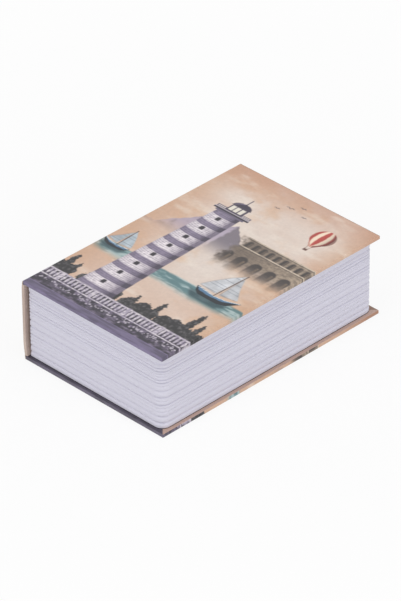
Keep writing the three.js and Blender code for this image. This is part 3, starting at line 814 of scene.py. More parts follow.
# %% Boats on teal water
# Each outline is in shares of the boat's length, from its middle at the water.
BOAT_SHADOW = ((-0.55, 0.0), (0.5, 0.0), (0.3, -0.2), (-0.36, -0.2))
BOAT_HULL = (
    (-0.5, 0.17), (-0.42, 0.02), (-0.3, -0.06), (0.2, -0.07),
    (0.4, 0.0), (0.6, 0.25), (0.3, 0.14), (0, 0.1),
)
BOAT_DECK = (
    (-0.46, 0.15), (-0.2, 0.115), (0.0, 0.1), (0.3, 0.13),
    (0.52, 0.2), (0.25, 0.06), (-0.1, 0.03), (-0.38, 0.06),
)
BOAT_SHEER = ((-0.47, 0.15), (0.0, 0.095), (0.3, 0.135), (0.57, 0.235))
BOAT_MAST = ((-0.02, 0.1), (0.02, 1.06))
MAINSAIL = ((-0.04, 0.2), (0.0, 1.02), (-0.18, 0.8), (-0.36, 0.5), (-0.48, 0.24))
JIB = ((0.06, 0.2), (0.03, 0.94), (0.22, 0.6), (0.46, 0.28))
SEAM_SPACING = 2.7


def paint_water(sheet, left, right, level, depth, seed):
    ripples = washes(2.4, seed, 4, 5.0)
    reach = within(U, left - 6, right + 6, 14)
    ragged = V + 4.5 * (washes(10, seed + 2, 4, 2.0) - 0.5)
    strip = step_up(ragged, level - depth, level - depth * 0.5) * step_up(-ragged, -level - 0.6, 0.9 - level)
    lay(sheet, strip * reach, mixed("#4d767d", "#a9c3c6", step_up(ripples, 0.4, 0.66)), 0.88)


def paint_boat(sheet, centre, level, length, facing, sail_colour):
    """A small sailing boat: dark hull with a blue sheer line, a mast, a mainsail and a jib."""
    def place(shares):
        return [(centre + facing * length * x, level + length * y) for x, y in shares]

    lay(sheet, soften(inside_outline(place(BOAT_SHADOW)), 0.8), "#233c44", 0.7)
    lay(sheet, inside_outline(place(BOAT_HULL)), "#181f27")
    lay(sheet, inside_outline(place(BOAT_DECK)), "#5f86ab", 0.9)
    lay(sheet, stroke(place(BOAT_SHEER), 0.5), "#d5e2ec")
    lay(sheet, stroke(place(BOAT_MAST), 0.6), "#2c242a")
    fold = 0.8 + 0.28 * washes(4, 77, 3)
    seams = line_at(np.mod(V, SEAM_SPACING) - SEAM_SPACING / 2, 0.05, 0.2)
    for outline, tone in ((MAINSAIL, 1.0), (JIB, 0.88)):
        mask = inside_outline(place(outline))
        lay(sheet, mask, shade(sail_colour) * (tone * fold)[..., None])
        lay(sheet, mask * seams, "#6c7480", 0.55)
        lay(sheet, soften(mask, 0.5) * (1 - mask) * 2, "#6f7785", 0.4)


# %% Trees, terrace and balloon
ROUND_TREES = 40
BALUSTER_SPACING = 3.0
PIER_SPACING = 27.0
FLOWERS = 150
FLOWER_REACH = 5
BORDER_FROM = 85.4
GORES = 7


def paint_trees(sheet, level, seed, cypresses):
    """Dark crowns along the ground, and tall narrow ones at the given places."""
    crowns = np.full_like(U, -9.0)
    draw = np.random.default_rng(seed)
    for _ in range(ROUND_TREES):
        x = draw.uniform(*SHEET_U)
        size = draw.uniform(2.4, 6.4)
        crowns = np.maximum(crowns, size * 1.1 - np.hypot(U - x, (V - level - size * 0.35) * 0.85))
    for x, height, half in cypresses:
        rise = np.clip((V - level + 2) / height, 0, 1)
        width = half * np.sqrt(np.clip(np.sin(np.pi * rise ** 0.7), 0, 1))
        crowns = np.maximum(crowns, np.where(V < level - 2 + height, width - abs(U - x), -9.0))
    leaves = washes(1.6, seed + 1, 3)
    mask = step_up(crowns + 3.2 * (leaves - 0.5), -0.1, 0.4) * step_up(V, level - 3, level - 2)
    lay(sheet, mask, mixed("#1f1e22", "#5f5d5f", step_up(leaves, 0.4, 0.85)), 0.97)


def paint_terrace(sheet, level, seed, border_colour):
    """A stone balustrade before the trees, a flower bed, and a plum border with a pale line over it."""
    stone = washes(1.0, seed, 3)
    bed = step_up(-V, -level, 0.3 - level)
    grass = washes(1.7, seed + 1, 4, 1.8)
    lay(sheet, bed, mixed("#2f2a36", "#7d7288", step_up(grass, 0.3, 0.8)))
    pale = mixed("#a79db0", "#e2dadf", step_up(stone, 0.25, 0.75))
    post = np.mod(U, BALUSTER_SPACING) - BALUSTER_SPACING / 2
    swell = 0.55 + 0.4 * np.sin(np.clip((level - 1.2 - V) / 6.3, 0, 1) * np.pi) ** 2
    lay(sheet, step_up(swell - abs(post), -0.2, 0.2) * within(V, level - 7.6, level - 1.2, 0.2), pale)
    pier = step_up(1.6 - abs(np.mod(U, PIER_SPACING) - PIER_SPACING / 2), -0.2, 0.2)
    lay(sheet, pier * step_up(-V, -level - 0.6, -level) * step_up(V, level - 9.4, level - 9.0), pale)
    for low, high in ((level - 1.4, level), (level - 9.2, level - 7.8)):
        lay(sheet, within(V, low, high, 0.2), pale)
    draw = np.random.default_rng(seed + 5)
    flecks = np.zeros_like(U)
    for _ in range(FLOWERS):
        x = draw.uniform(*SHEET_U)
        y = level - 12.0 + draw.normal(0, 1.2)
        size = draw.uniform(0.25, 0.75)
        column = int((x - SHEET_U[0]) / SAMPLE)
        row = int((y - SHEET_V[0]) / SAMPLE)
        window = tuple(slice(max(at - FLOWER_REACH, 0), at + FLOWER_REACH) for at in (row, column))
        away = np.hypot(U[window] - x, V[window] - y)
        flecks[window] = np.maximum(flecks[window], np.clip(0.5 + (size - away) / SAMPLE, 0, 1))
    lay(sheet, flecks, "#d9d0dc", 0.8)
    border = step_up(-V, BORDER_FROM, BORDER_FROM + 0.3)
    streaks = washes(1.3, seed + 9, 3, 9.0)
    tones = shade(border_colour) * (0.86 + 0.28 * step_up(streaks, 0.3, 0.7))[..., None]
    lay(sheet, border, tones)
    lay(sheet, border * step_up(washes(2.0, seed + 10, 3, 6.0), 0.55, 0.75), shade(border_colour) * 1.18, 0.5)
    lay(sheet, line_at(V + BORDER_FROM - 0.2, 0.2, 0.5), shade(border_colour) * 1.35, 0.7)


def paint_balloon(sheet, centre, middle, radius):
    """A hot-air balloon in brick red and cream."""
    bag = arc_of(centre, middle, radius, radius * 1.06, -52, 284, 24)
    bag += [(centre - radius * 0.2, middle - radius * 1.45), (centre + radius * 0.2, middle - radius * 1.45)]
    wide = np.sqrt(np.clip(1.02 - ((V - middle) / radius / 1.2) ** 2, 0.05, 1))
    side = np.clip((U - centre) / (radius * wide), -1, 1)
    gore = soften((np.mod(np.arcsin(side) / math.pi * GORES + 0.5, 2) < 1).astype(float), EDGE_BLUR)
    light = (0.66 + 0.42 * lit_round(side))[..., None]
    lay(sheet, inside_outline(bag), mixed("#ead6bf", "#ad4038", gore) * light)
    for offset in (-0.17, 0.17):
        start = (centre + radius * offset, middle - radius * 1.42)
        lay(sheet, stroke([start, (centre + radius * offset * 0.8, middle - radius * 1.8)], 0.3), "#6b4a40")
    low, high = middle - radius * 2.08, middle - radius * 1.8
    lay(sheet, inside_outline(block_of(centre - radius * 0.18, centre + radius * 0.18, low, high)), "#6b4a40")


# %% Spine ornament


def paint_rose(sheet, centre, middle, radius):
    """An eight-pointed compass rose. Each point has a dark half and a pale half."""
    for ring, width in ((radius * 0.72, 0.5), (radius * 0.64, 0.3), (radius * 0.2, 0.3)):
        lay(sheet, stroke(arc_of(centre, middle, ring, ring, 0, 360, 36), width), "#7d6259", 0.8)

    def at(away, turn):
        return (centre + radius * away * math.cos(turn), middle + radius * away * math.sin(turn))

    for first, reach in ((math.pi / 4, 0.7), (0.0, 1.0)):
        for step in range(4):
            turn = first + step * math.pi / 2
            for half, colour in ((math.pi / 4, "#6a4a44"), (-math.pi / 4, "#dccbbd")):
                point = [(centre, middle), at(reach, turn), at(0.2, turn + half)]
                lay(sheet, inside_outline(point), colour, 0.92)


# %% The three pictures
# Each cypress is its place, its height and half its width.
FRONT_CYPRESSES = ((6, 22, 2.6), (13, 16, 2.0), (62, 15, 2.2), (79, 20, 2.6), (104, 27, 3.0), (111, 19, 2.4))
BACK_CYPRESSES = ((22, 20, 2.6), (30, 26, 3.0), (96, 18, 2.4))
SPINE_LINES = ((78.0, 1.1), (75.8, 0.4), (30.0, 0.4), (28.2, 0.9))
DIAMONDS_AT = 82


def front_picture():
    sheet = paint_sky(11)
    paint_hills(sheet, 5, 6, 41, "#8d8396", 0.8)
    paint_viaduct(sheet, 60, 128, 0, ((11.5, 26.0, 7.8), (5.75, 9.5, 3.5)), 21)
    paint_birds(sheet, ((58, 74, 2.6), (64, 79, 2.0), (52, 69, 1.7), (71, 72, 1.6)))
    paint_water(sheet, 0, 122, -24, 14, 31)
    paint_boat(sheet, 92, -27, 30, 1, "#e3e5ea")
    paint_boat(sheet, 12, -27, 20, -1, "#c9d5de")
    paint_trees(sheet, -66, 41, FRONT_CYPRESSES)
    paint_terrace(sheet, -67, 51, "#685f79")
    paint_lighthouse(sheet, 37, -67, 46, 29, 19, 61)
    paint_balloon(sheet, 95, 64, 8.0)
    return np.clip(sheet, 0, 1)


def back_picture():
    sheet = paint_sky(12)
    paint_hills(sheet, 8, 0, 40, "#8d8396", 0.7)
    paint_viaduct(sheet, 64, 134, 12, ((11.5, 18.0, 7.8), (5.75, 8.5, 3.5)), 23)
    paint_water(sheet, -6, 130, -27, 12, 33)
    paint_boat(sheet, 56, -29, 26, -1, "#e3e5ea")
    paint_trees(sheet, -66, 43, BACK_CYPRESSES)
    paint_terrace(sheet, -67, 53, "#5c5566")
    lay(sheet, step_up(V, 52, 84), "#a5775f", 0.7)
    return np.clip(sheet, 0, 1)


def spine_picture():
    sheet = np.zeros(U.shape + (3,)) + shade("#bda89c")
    lay(sheet, step_up(washes(30, 71, 5), 0.4, 0.75), "#ccb9ad")
    lay(sheet, step_up(washes(9, 72, 5), 0.5, 0.8), "#ab958a", 0.5)
    sheet *= (0.975 + 0.05 * washes(1.2, 73, 2))[..., None]
    middle = (SPINE_HIGH.z - SPINE_LOW.z) / 2 / MM
    for side in (-1, 1):
        for away, width in SPINE_LINES:
            lay(sheet, line_at(V - side * away, width / 2 - 0.15, width / 2 + 0.15), "#6a4a44", 0.85)
        for step in range(-4, 5):
            x, y = middle + step * 5.0, side * DIAMONDS_AT
            diamond = [(x - 1.3, y), (x, y + 1.9), (x + 1.3, y), (x, y - 1.9)]
            lay(sheet, inside_outline(diamond), "#7d6259", 0.8)
    paint_rose(sheet, middle, 0, 17)
    return np.clip(sheet, 0, 1)


PICTURES = {"front": front_picture(), "back": back_picture(), "spine": spine_picture()}
print("pictures drawn on", U.shape[1], "by", U.shape[0], "samples")


# %% [markdown]
# Each point of a sheet of paper keeps the place that it had before the sheet was folded, and takes its
# colour from the picture there. What is turned in along the fore-edge is plain, and what lies against the
# board is bare paper.

# %% Colours on the points
TURNED_IN_COLOUR = "#bda093"
BARE_PAPER_COLOUR = "#e4e0da"


def look_up(picture, flat):
    """The picture's colour at each place on the flat sheet, in metres."""
    place_u = (flat[:, 0] / MM - SHEET_U[0]) / SAMPLE
    place_v = (flat[:, 1] / MM - SHEET_V[0]) / SAMPLE
    i = np.clip(place_u.astype(int), 0, U.shape[1] - 2)
    j = np.clip(place_v.astype(int), 0, U.shape[0] - 2)
    fu = np.clip(place_u - i, 0, 1)[:, None]
    fv = np.clip(place_v - j, 0, 1)[:, None]
    return between_four(picture, i, j, fu, fv)


def colour_layer(piece, colours):
    """Puts a colour on each point of the piece, where the printed finish looks for it."""
    values = np.concatenate([to_linear(colours), np.ones((len(colours), 1))], 1)
    layer = piece.data.color_attributes.new("print", "FLOAT_COLOR", "POINT")
    layer.data.foreach_set("color", values.astype(np.float32).ravel())


def printed(piece, picture, flat, inside, plain_from=1.0, tones=()):
    """Gives each point of a piece the picture's colour at its place on the flat sheet. The sheet is plain
    past plain_from. Each tone is painted light or shade at an end: the end, 1 for the head or -1 for the
    tail, how far out it starts and a share that the colours past there are multiplied by."""
    colours = look_up(picture, flat)
    for end, start, share in tones:
        # Painted light and shade: the colours past each end's edge are made paler or darker.
        colours[end * flat[:, 1] > start] *= share
    colours[flat[:, 0] > plain_from] = shade(TURNED_IN_COLOUR)
    colours[inside] = shade(BARE_PAPER_COLOUR)
    colour_layer(piece, colours)


# %% Finish a piece


def dress(piece, name, slot, nodes=()):
    """The piece takes its name and its finish, and stands for its nodes."""
    piece.name = name
    piece.data.name = name
    piece.data.materials.clear()
    piece.data.materials.append(FINISH[slot])
    if nodes:
        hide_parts(*nodes)


def finish_piece(piece, name, body, slot, nodes=()):
    dress(piece, name, slot, nodes)
    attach(piece, body)


# %% Front and back cover
SMOOTH_ANGLE = math.radians(35)
# At each cover's ends: the end, how many mm past the edge and the share of the ink's colour. These are
# painted
# light and shade: the front's tail edge, which faces the light, is painted paler, and its head edge and the
# back's folded borders are painted darker, as painted shade.
END_PAINTED_LIGHT = {
    "front": ((-1, 0.0, 1.1), (1, -0.5, 0.82)),
    "back": ((-1, 2.2, 0.78), (1, 2.2, 0.78)),
}


def smooth(piece):
    select_only(piece)
    bpy.ops.object.shade_smooth_by_angle(angle=SMOOTH_ANGLE)


def wrapped_cover(side):
    low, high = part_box(f"{side}_wrap")
    sheet, (flat, inside) = folded_sheet(high.x - low.x, high.y - low.y, high.z - low.z, True)
    if side == "back":
        bpy.ops.object.mode_set(mode="EDIT")
        bpy.ops.mesh.select_all(action="SELECT")
        bpy.ops.transform.resize(value=(1, 1, -1), center_override=(0, 0, 0))
        bpy.ops.mesh.flip_normals()
        bpy.ops.object.mode_set(mode="OBJECT")
    sheet.location = (low.x, 0, high.z if side == "front" else low.z)
    bpy.ops.object.transform_apply()
    flat[:, 0] += low.x - SPINE_LOW.x
    turn = high.z - low.z - EDGE_ROUND
    # The cover's ends take their painted light and shade.
    tones = [(end, high.y + past * MM, share) for end, past, share in END_PAINTED_LIGHT[side]]
    printed(sheet, PICTURES[side], flat, inside, high.x - SPINE_LOW.x + turn, tones)
    smooth(sheet)
    return sheet


for side, body in (("front", "front_cover"), ("back", "base")):
    cover = wrapped_cover(side)
    finish_piece(cover, f"{side}_print", body, "printed_paper", [f"{side}_wrap"])
    print(side, "cover sheet has", len(cover.data.vertices), "points")

# %% [markdown]
# ## The spine and its two joints
# The spine is the same folded sheet, but it only turns in at the tail and the head, and it stands on edge.
# Its board is drawn in towards both joints, so the sheet follows the same two curves.

# %% Spine
SPINE_PRINT_STEP = 0.36 * MM
SPINE_DEPTH = 2.25 * MM
SPINE_LOW_TUCK = 1.0 * MM
SPINE_LOW_TUCK_HEIGHT = 11.2 * MM
SPINE_HIGH_TUCK = 0.5 * MM
SPINE_HIGH_TUCK_HEIGHT = 2.7 * MM


def spine_tuck(z):
    """How far the sheet is drawn in at a height."""
    low = np.maximum(0, 1 - (z - SPINE_LOW.z) / SPINE_LOW_TUCK_HEIGHT)
    high = np.maximum(0, 1 - (SPINE_HIGH.z - z) / SPINE_HIGH_TUCK_HEIGHT)
    return SPINE_LOW_TUCK * low ** 2 + SPINE_HIGH_TUCK * high ** 2


def wrapped_spine():
    height = SPINE_HIGH.z - SPINE_LOW.z
    sheet, (flat, inside) = folded_sheet(height, COVER_LENGTH, SPINE_DEPTH, False, SPINE_PRINT_STEP)
    sheet.rotation_euler = (0, -math.pi / 2, 0)
    sheet.location = (SPINE_LOW.x, 0, SPINE_LOW.z)
    bpy.ops.object.transform_apply()
    points = points_of(sheet)
    points[:, 0] += spine_tuck(points[:, 2])
    sheet.data.vertices.foreach_set("co", points.astype(np.float32).ravel())
    printed(sheet, PICTURES["spine"], flat, inside)
    smooth(sheet)
    return sheet


spine_print = wrapped_spine()
finish_piece(spine_print, "spine_print", "spine", "spine_paper", ["spine_wrap"])
print("spine sheet has", len(spine_print.data.vertices), "points")

# %% [markdown]
# Between a board and the spine, paper and lining run on by themselves, and the case bends there. Each joint
# is a line along the book, spun a quarter turn, stretched to the height of the joint and given its
# thickness.

# %% Joint strips
STRIP_THICKNESS = 0.5 * MM
STRIP_STEPS = 14
STRIP_ROW = 1.0 * MM
JOINT_X = COVER_LOW.x
PRINT_BREAK = 0.5
PRINT_BREAK_BLUR = 0.2
SPINE_BEIGE_AT = 2.0 * MM
STRIP_EDGE_COLOUR = "#b3a096"
STRIP_LINING_COLOUR = "#2b2a2c"


def joint_strip(cover_face_z, spine_end_z):
    """A quarter of an ellipse from the spine's end, which it leaves upright, to the cover's face, which it
    joins flat. Returns it with its reach and its rise."""
    reach = JOINT_X - SPINE_LOW.x - float(spine_tuck(np.array(spine_end_z)))
    rise = cover_face_z - spine_end_z
    rows = round(COVER_LENGTH / STRIP_ROW)
    select_only()
    bpy.ops.mesh.primitive_grid_add(x_subdivisions=1, y_subdivisions=rows, size=1, location=(0, 0, 0))
    strip = bpy.context.object
    strip.scale = (1, COVER_LENGTH, 1)
    bpy.ops.object.transform_apply()
    mesh_edit = start_edit(strip, "VERT")
    for v in mesh_edit.verts:
        v.select_set(v.co.x > 0)
    bpy.ops.mesh.delete(type="VERT")
    bpy.ops.mesh.select_all(action="SELECT")
    bpy.ops.transform.translate(value=(-0.5, 0, 0))
    bpy.ops.mesh.spin(steps=STRIP_STEPS, angle=math.pi / 2, center=(0, 0, 0), axis=(0, 1, 0))
    bpy.ops.mesh.select_all(action="SELECT")
    mesh_edit = bmesh.from_edit_mesh(strip.data)
    upward = max(v.co.z for v in mesh_edit.verts) > 0.5
    bpy.ops.transform.resize(value=(reach, 1, rise if upward else -rise), center_override=(0, 0, 0))
    bpy.ops.transform.translate(value=(JOINT_X, 0, spine_end_z))
    end_edit()
    return strip, reach, rise


def colour_strip(strip, cover_picture, reach, rise, cover_face_z):
    """The cover's picture, then the spine's beige, and lining inside."""
    points = points_of(strip)
    across = (JOINT_X - points[:, 0]) / reach
    along = abs(points[:, 2] - cover_face_z) / abs(rise)
    turn = np.arctan2(across, np.maximum(1 - along, 1e-6))
    outward = np.hypot(across, 1 - along) > 1 - 0.5 * STRIP_THICKNESS / abs(rise)
    length = math.pi / 2 * math.sqrt((reach ** 2 + rise ** 2) / 2)
    flat = np.stack([JOINT_X - SPINE_LOW.x - length * turn / (math.pi / 2), points[:, 1]], 1)
    edge_band = abs(points[:, 1]) > COVER_LENGTH / 2 - TURN_IN
    share = step_up(flat[:, 0] / MM, PRINT_BREAK - PRINT_BREAK_BLUR, PRINT_BREAK + PRINT_BREAK_BLUR)[:, None]
    beige = look_up(PICTURES["spine"], np.stack([np.full(len(flat), SPINE_BEIGE_AT), flat[:, 1]], 1))
    colours = beige * (1 - share) + look_up(PICTURES[cover_picture], flat) * share
    colours[~outward & edge_band] = shade(STRIP_EDGE_COLOUR)
    colours[~outward & ~edge_band] = shade(STRIP_LINING_COLOUR)
    colour_layer(strip, colours)


for side, body, face_z, end_z in (
    ("front", "front_cover", COVER_HIGH.z, SPINE_HIGH.z),
    ("back", "base", 0.0, SPINE_LOW.z),
):
    strip, reach, rise = joint_strip(face_z, end_z)
    apply_modifier(strip, "thickness", "SOLIDIFY", thickness=STRIP_THICKNESS, offset=-1)
    colour_strip(strip, side, reach, rise, face_z)
    smooth(strip)
    dress(strip, f"{side}_joint_paper", "spine_paper", [f"{side}_joint_strip"])
    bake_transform(strip)
    print(side, "joint strip reaches", round(reach / MM, 2), "mm and rises", round(rise / MM, 2))

# %% [markdown]
# ## Moulded leaves
# The block is one moulding that passes for the edges of some two hundred leaves. Its sides are drawn in at
# sixteen places, as leaves fall into bundles, and swell a little between them. It starts as a flat outline
# with rounded corners, and the outline is extruded up and drawn in or out at each step. The opening is a
# second outline, and the ring between the two is filled at the rim and at the foot.

# %% Outline with rounded corners


def rounded_outline(low, high, z, corners):
    """An outline in the plane at z, in edit mode, with all its edges selected. Each corner pair is given as
    -1 for the spine side or 1 for the fore-edge side, with its radius and how many steps it is rounded
    in."""
    select_only()
    middle = (low[0] + high[0]) / 2
    reach = (high[0] - low[0]) / 2
    bpy.ops.mesh.primitive_plane_add(size=1, location=(middle, (low[1] + high[1]) / 2, z))
    outline = bpy.context.object
    outline.scale = (high[0] - low[0], high[1] - low[1], 1)
    bpy.ops.object.transform_apply()
    for side, radius, steps in corners:
        mesh_edit = start_edit(outline, "VERT")
        for v in mesh_edit.verts:
            v.select_set(abs(v.co.x - middle - side * reach) < NEAR)
        bpy.ops.mesh.bevel(offset=radius, segments=steps, affect="VERTICES")
    bpy.ops.mesh.select_all(action="SELECT")
    bpy.ops.mesh.delete(type="ONLY_FACE")
    bpy.ops.mesh.select_mode(type="EDGE")
    bpy.ops.mesh.select_all(action="SELECT")
    return outline


def raise_outline(levels, centre, spans):
    """Extrudes the selected outline through levels of (height, inset), drawn in towards the centre."""
    z, inset = levels[0]
    for next_z, next_inset in levels[1:]:
        bpy.ops.mesh.extrude_edges_move()
        shares = [(span - next_inset) / (span - inset) for span in spans]
        bpy.ops.transform.resize(value=(*shares, 1), center_override=centre)
        bpy.ops.transform.translate(value=(0, 0, next_z - z))
        z, inset = next_z, next_inset


# %% Page block
BLOCK_LOW, BLOCK_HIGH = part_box("page_block")
BLOCK_FORE_RADIUS = 6.0 * MM
BLOCK_SPINE_RADIUS = 1.0 * MM
BLOCK_RIM = 8.0 * MM
OPENING_RADIUS = 1.5 * MM
RIM_ROUND = 0.4 * MM
FOOT_GAP = 0.22 * MM
FOOT_GAP_DEPTH = 1.2 * MM
FOOT_ROUND = 0.2 * MM
FOOT_INSET = 0.1 * MM
TOP_INSET = 0.2 * MM
# Each groove is at a share of the block's height.
DEEP_GROOVES = (0.066, 0.157, 0.314, 0.419, 0.511, 0.624, 0.666, 0.785, 0.827, 0.885)
FINE_GROOVES = (0.219, 0.27, 0.37, 0.579, 0.712, 0.751)
GROOVES = [(share, 0.8 * MM) for share in DEEP_GROOVES] + [(share, 0.42 * MM) for share in FINE_GROOVES]
FORE_STEPS = 14
SPINE_STEPS = 6
BLOCK_CORNERS = ((1, BLOCK_FORE_RADIUS, FORE_STEPS), (-1, BLOCK_SPINE_RADIUS, SPINE_STEPS))
OPENING_CORNERS = ((1, OPENING_RADIUS, FORE_STEPS), (-1, OPENING_RADIUS, SPINE_STEPS))
BUNDLE_STEPS = 5
FOOT_STEPS = 3
RIM_STEPS = 4
CLEAR_OF_ROUND = 1.2
SWELL_POWER = 2.4


def rim_levels(inset, way):
    """The rounded rim, from a wall at that inset, going in with 1 and out with -1."""
    curve = quarter_turn(RIM_STEPS)
    return [(BLOCK_HIGH.z - RIM_ROUND * left, inset + way * RIM_ROUND * gone) for gone, left in curve]


def bundle_levels():
    """Heights and insets up the side of the block. A bundle swells evenly between its two grooves."""
    height = BLOCK_HIGH.z - BLOCK_LOW.z
    grooves = sorted([(0.0, FOOT_INSET), *GROOVES, (1.0, TOP_INSET)])
    levels = []
    for (low, low_depth), (high, high_depth) in zip(grooves, grooves[1:]):
        for step in range(-BUNDLE_STEPS, BUNDLE_STEPS):
            away = math.sqrt(abs(step) / BUNDLE_STEPS)
            share = (low + high) / 2 + math.copysign(away, step) * (high - low) / 2
            depth = low_depth if step < 0 else high_depth
            levels.append((BLOCK_LOW.z + height * share, depth * away ** SWELL_POWER))
    foot = BLOCK_LOW.z + FOOT_GAP
    lowest, highest = foot + FOOT_ROUND * CLEAR_OF_ROUND, BLOCK_HIGH.z - RIM_ROUND * CLEAR_OF_ROUND
    levels = [level for level in levels if lowest < level[0] < highest]
    foot_inset = levels[0][1]
    undercut = [(BLOCK_LOW.z, FOOT_GAP_DEPTH), (foot, FOOT_GAP_DEPTH)]
    curve = quarter_turn(FOOT_STEPS)
    curve = [(foot + FOOT_ROUND * gone, foot_inset + FOOT_ROUND * left) for gone, left in curve]
    return undercut + curve + levels + rim_levels(TOP_INSET, 1)


def page_block():
    low, high = BLOCK_LOW, BLOCK_HIGH
    levels = bundle_levels()
    outer = rounded_outline((low.x, low.y), (high.x, high.y), low.z, BLOCK_CORNERS)
    spans = (high.x - low.x, (high.y - low.y) / 2)
    first = levels[0][1]
    shares = [(span - first) / span for span in spans]
    bpy.ops.transform.resize(value=(*shares, 1), center_override=(low.x, 0, low.z))
    raise_outline(levels, (low.x, 0, 0), spans)
    bpy.ops.object.mode_set(mode="OBJECT")
    inner_low = (low.x + BLOCK_RIM, low.y + BLOCK_RIM)
    inner_high = (high.x - BLOCK_RIM, high.y - BLOCK_RIM)
    rounded_outline(inner_low, inner_high, low.z, OPENING_CORNERS)
    middle = ((inner_low[0] + inner_high[0]) / 2, 0, 0)
    opening_levels = [(low.z, 0.0), *rim_levels(0.0, -1)]
    raise_outline(opening_levels, middle, [(b - a) / 2 for a, b in zip(inner_low, inner_high)])
    bpy.ops.object.mode_set(mode="OBJECT")
    outer.select_set(True)
    bpy.context.view_layer.objects.active = outer
    bpy.ops.object.join()
    for z in (low.z, high.z):
        mesh_edit = start_edit(outer, "EDGE")
        for edge in mesh_edit.edges:
            edge.select_set(all(abs(v.co.z - z) < NEAR for v in edge.verts))
        bpy.ops.mesh.fill()
    end_edit()
    smooth(outer)
    return outer, len(levels)


leaves, level_count = page_block()
finish_piece(leaves, "moulded_page_block", "base", "white_plastic", ["page_block"])
print("page block has", level_count, "levels and", len(leaves.data.polygons), "faces")

# %% [markdown]
# The block is glued down. Under it lies a sheet of the black lining paper that reaches a hair past its foot,
# as painted shade: under the foot's undercut it shows as the dark line all round the block, where there is
# shade at the contact. It is the block's own outline, filled and given the paper's thickness.

# %% Painted shade sheet under the block
SHADE_SHEET_PAST = 0.05 * MM
SHADE_SHEET_THICKNESS = 0.06 * MM


# A black sheet as painted shade: only its rim past the block's foot shows, as the dark line of shade at the
# contact.
def painted_shade_sheet():
    low = (BLOCK_LOW.x, BLOCK_LOW.y - SHADE_SHEET_PAST)
    high = (BLOCK_HIGH.x + SHADE_SHEET_PAST, BLOCK_HIGH.y + SHADE_SHEET_PAST)
    sheet = rounded_outline(low, high, BLOCK_LOW.z, BLOCK_CORNERS)
    bpy.ops.mesh.fill()
    bpy.ops.mesh.select_all(action="SELECT")
    bpy.ops.mesh.extrude_region_move(TRANSFORM_OT_translate={"value": (0, 0, SHADE_SHEET_THICKNESS)})
    end_edit()
    return sheet


shade_sheet = painted_shade_sheet()
finish_piece(shade_sheet, "block_painted_shade_sheet", "base", "lining_paper")
print("base paper has", len(shade_sheet.data.polygons), "faces")

# %% [markdown]
# Inside the joints the lining is turned over each board's end, so that hardly any raw board shows when the
# case is open. Each flap is a box of the paper's thickness with its fold rounded, and it stops short of the
# bending strip.

# %% Lining flaps
FLAP_THICKNESS = 0.1 * MM
FLAP_ROUND = 0.03 * MM
FLAP_ROUND_STEPS = 2
STRIP_CLEARANCE = 0.55 * MM
FLAP_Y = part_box("front_lining")[1].y
LINING_FACE_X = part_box("spine_lining")[1].x
COVER_FLAP_X = (COVER_LOW.x - FLAP_THICKNESS, COVER_LOW.x)
HIGH_FLAP_X = (SPINE_LOW.x + SPINE_HIGH_TUCK + STRIP_CLEARANCE, LINING_FACE_X)
LOW_FLAP_X = (SPINE_LOW.x + SPINE_LOW_TUCK + STRIP_CLEARANCE, LINING_FACE_X)
# Each flap's body, and where it lies from the spine side to the fore-edge side and from below to above.
FLAPS = {
    "front_lining_flap": ("front_cover", COVER_FLAP_X, (COVER_LOW.z, COVER_HIGH.z - STRIP_CLEARANCE)),
    "back_lining_flap": ("base", COVER_FLAP_X, (STRIP_CLEARANCE, COVER_DEPTH)),
    "spine_lining_flap_high": ("spine", HIGH_FLAP_X, (SPINE_HIGH.z, SPINE_HIGH.z + FLAP_THICKNESS)),
    "spine_lining_flap_low": ("spine", LOW_FLAP_X, (SPINE_LOW.z - FLAP_THICKNESS, SPINE_LOW.z)),
}


def box_at(middle, size):
    """A plain box, to be given its edges or to cut with."""
    select_only()
    bpy.ops.mesh.primitive_cube_add(size=1, location=middle)
    box = bpy.context.object
    box.scale = size
    bpy.ops.object.transform_apply()
    return box


for name, (body, across, up) in FLAPS.items():
    spans = (across, (-FLAP_Y, FLAP_Y), up)
    flap = box_at([(low + high) / 2 for low, high in spans], [high - low for low, high in spans])
    apply_modifier(flap, "fold", "BEVEL", width=FLAP_ROUND, segments=FLAP_ROUND_STEPS)
    smooth(flap)
    finish_piece(flap, name, body, "lining_paper")
print(len(FLAPS), "lining flaps have their folds rounded")

# %% [markdown]
# ## Steel and lock
# Folded sheet, turned and cast pieces already have their shape in the model, with edges as sharp as a
# drawing. Real ones catch the light on a small radius. A copy of each is merged, cleaned of the flat faces'
# inner edges and given that radius, and the copy stands for the node.

# %% Round the edges of the metal
EDGE_RADII = {
    "steel_tray": 0.3, "lid": 0.3, "tray_hinge_leaf": 0.15, "lid_hinge_leaf": 0.15, "strike_bracket": 0.25,
    "lock_nut": 0.3, "lock_plug": 0.15, "cam": 0.2, "cam_screw": 0.12,
}
ROUND_STEPS = 3
FLAT_ANGLE = math.radians(1)
EDGE_ANGLE = math.radians(40)


def own_copy(source):
    """A copy with its own mesh, selected by itself."""
    piece = source.copy()
    piece.data = source.data.copy()
    piece.parent = None
    bpy.context.scene.collection.objects.link(piece)
    select_only(piece)
    return piece


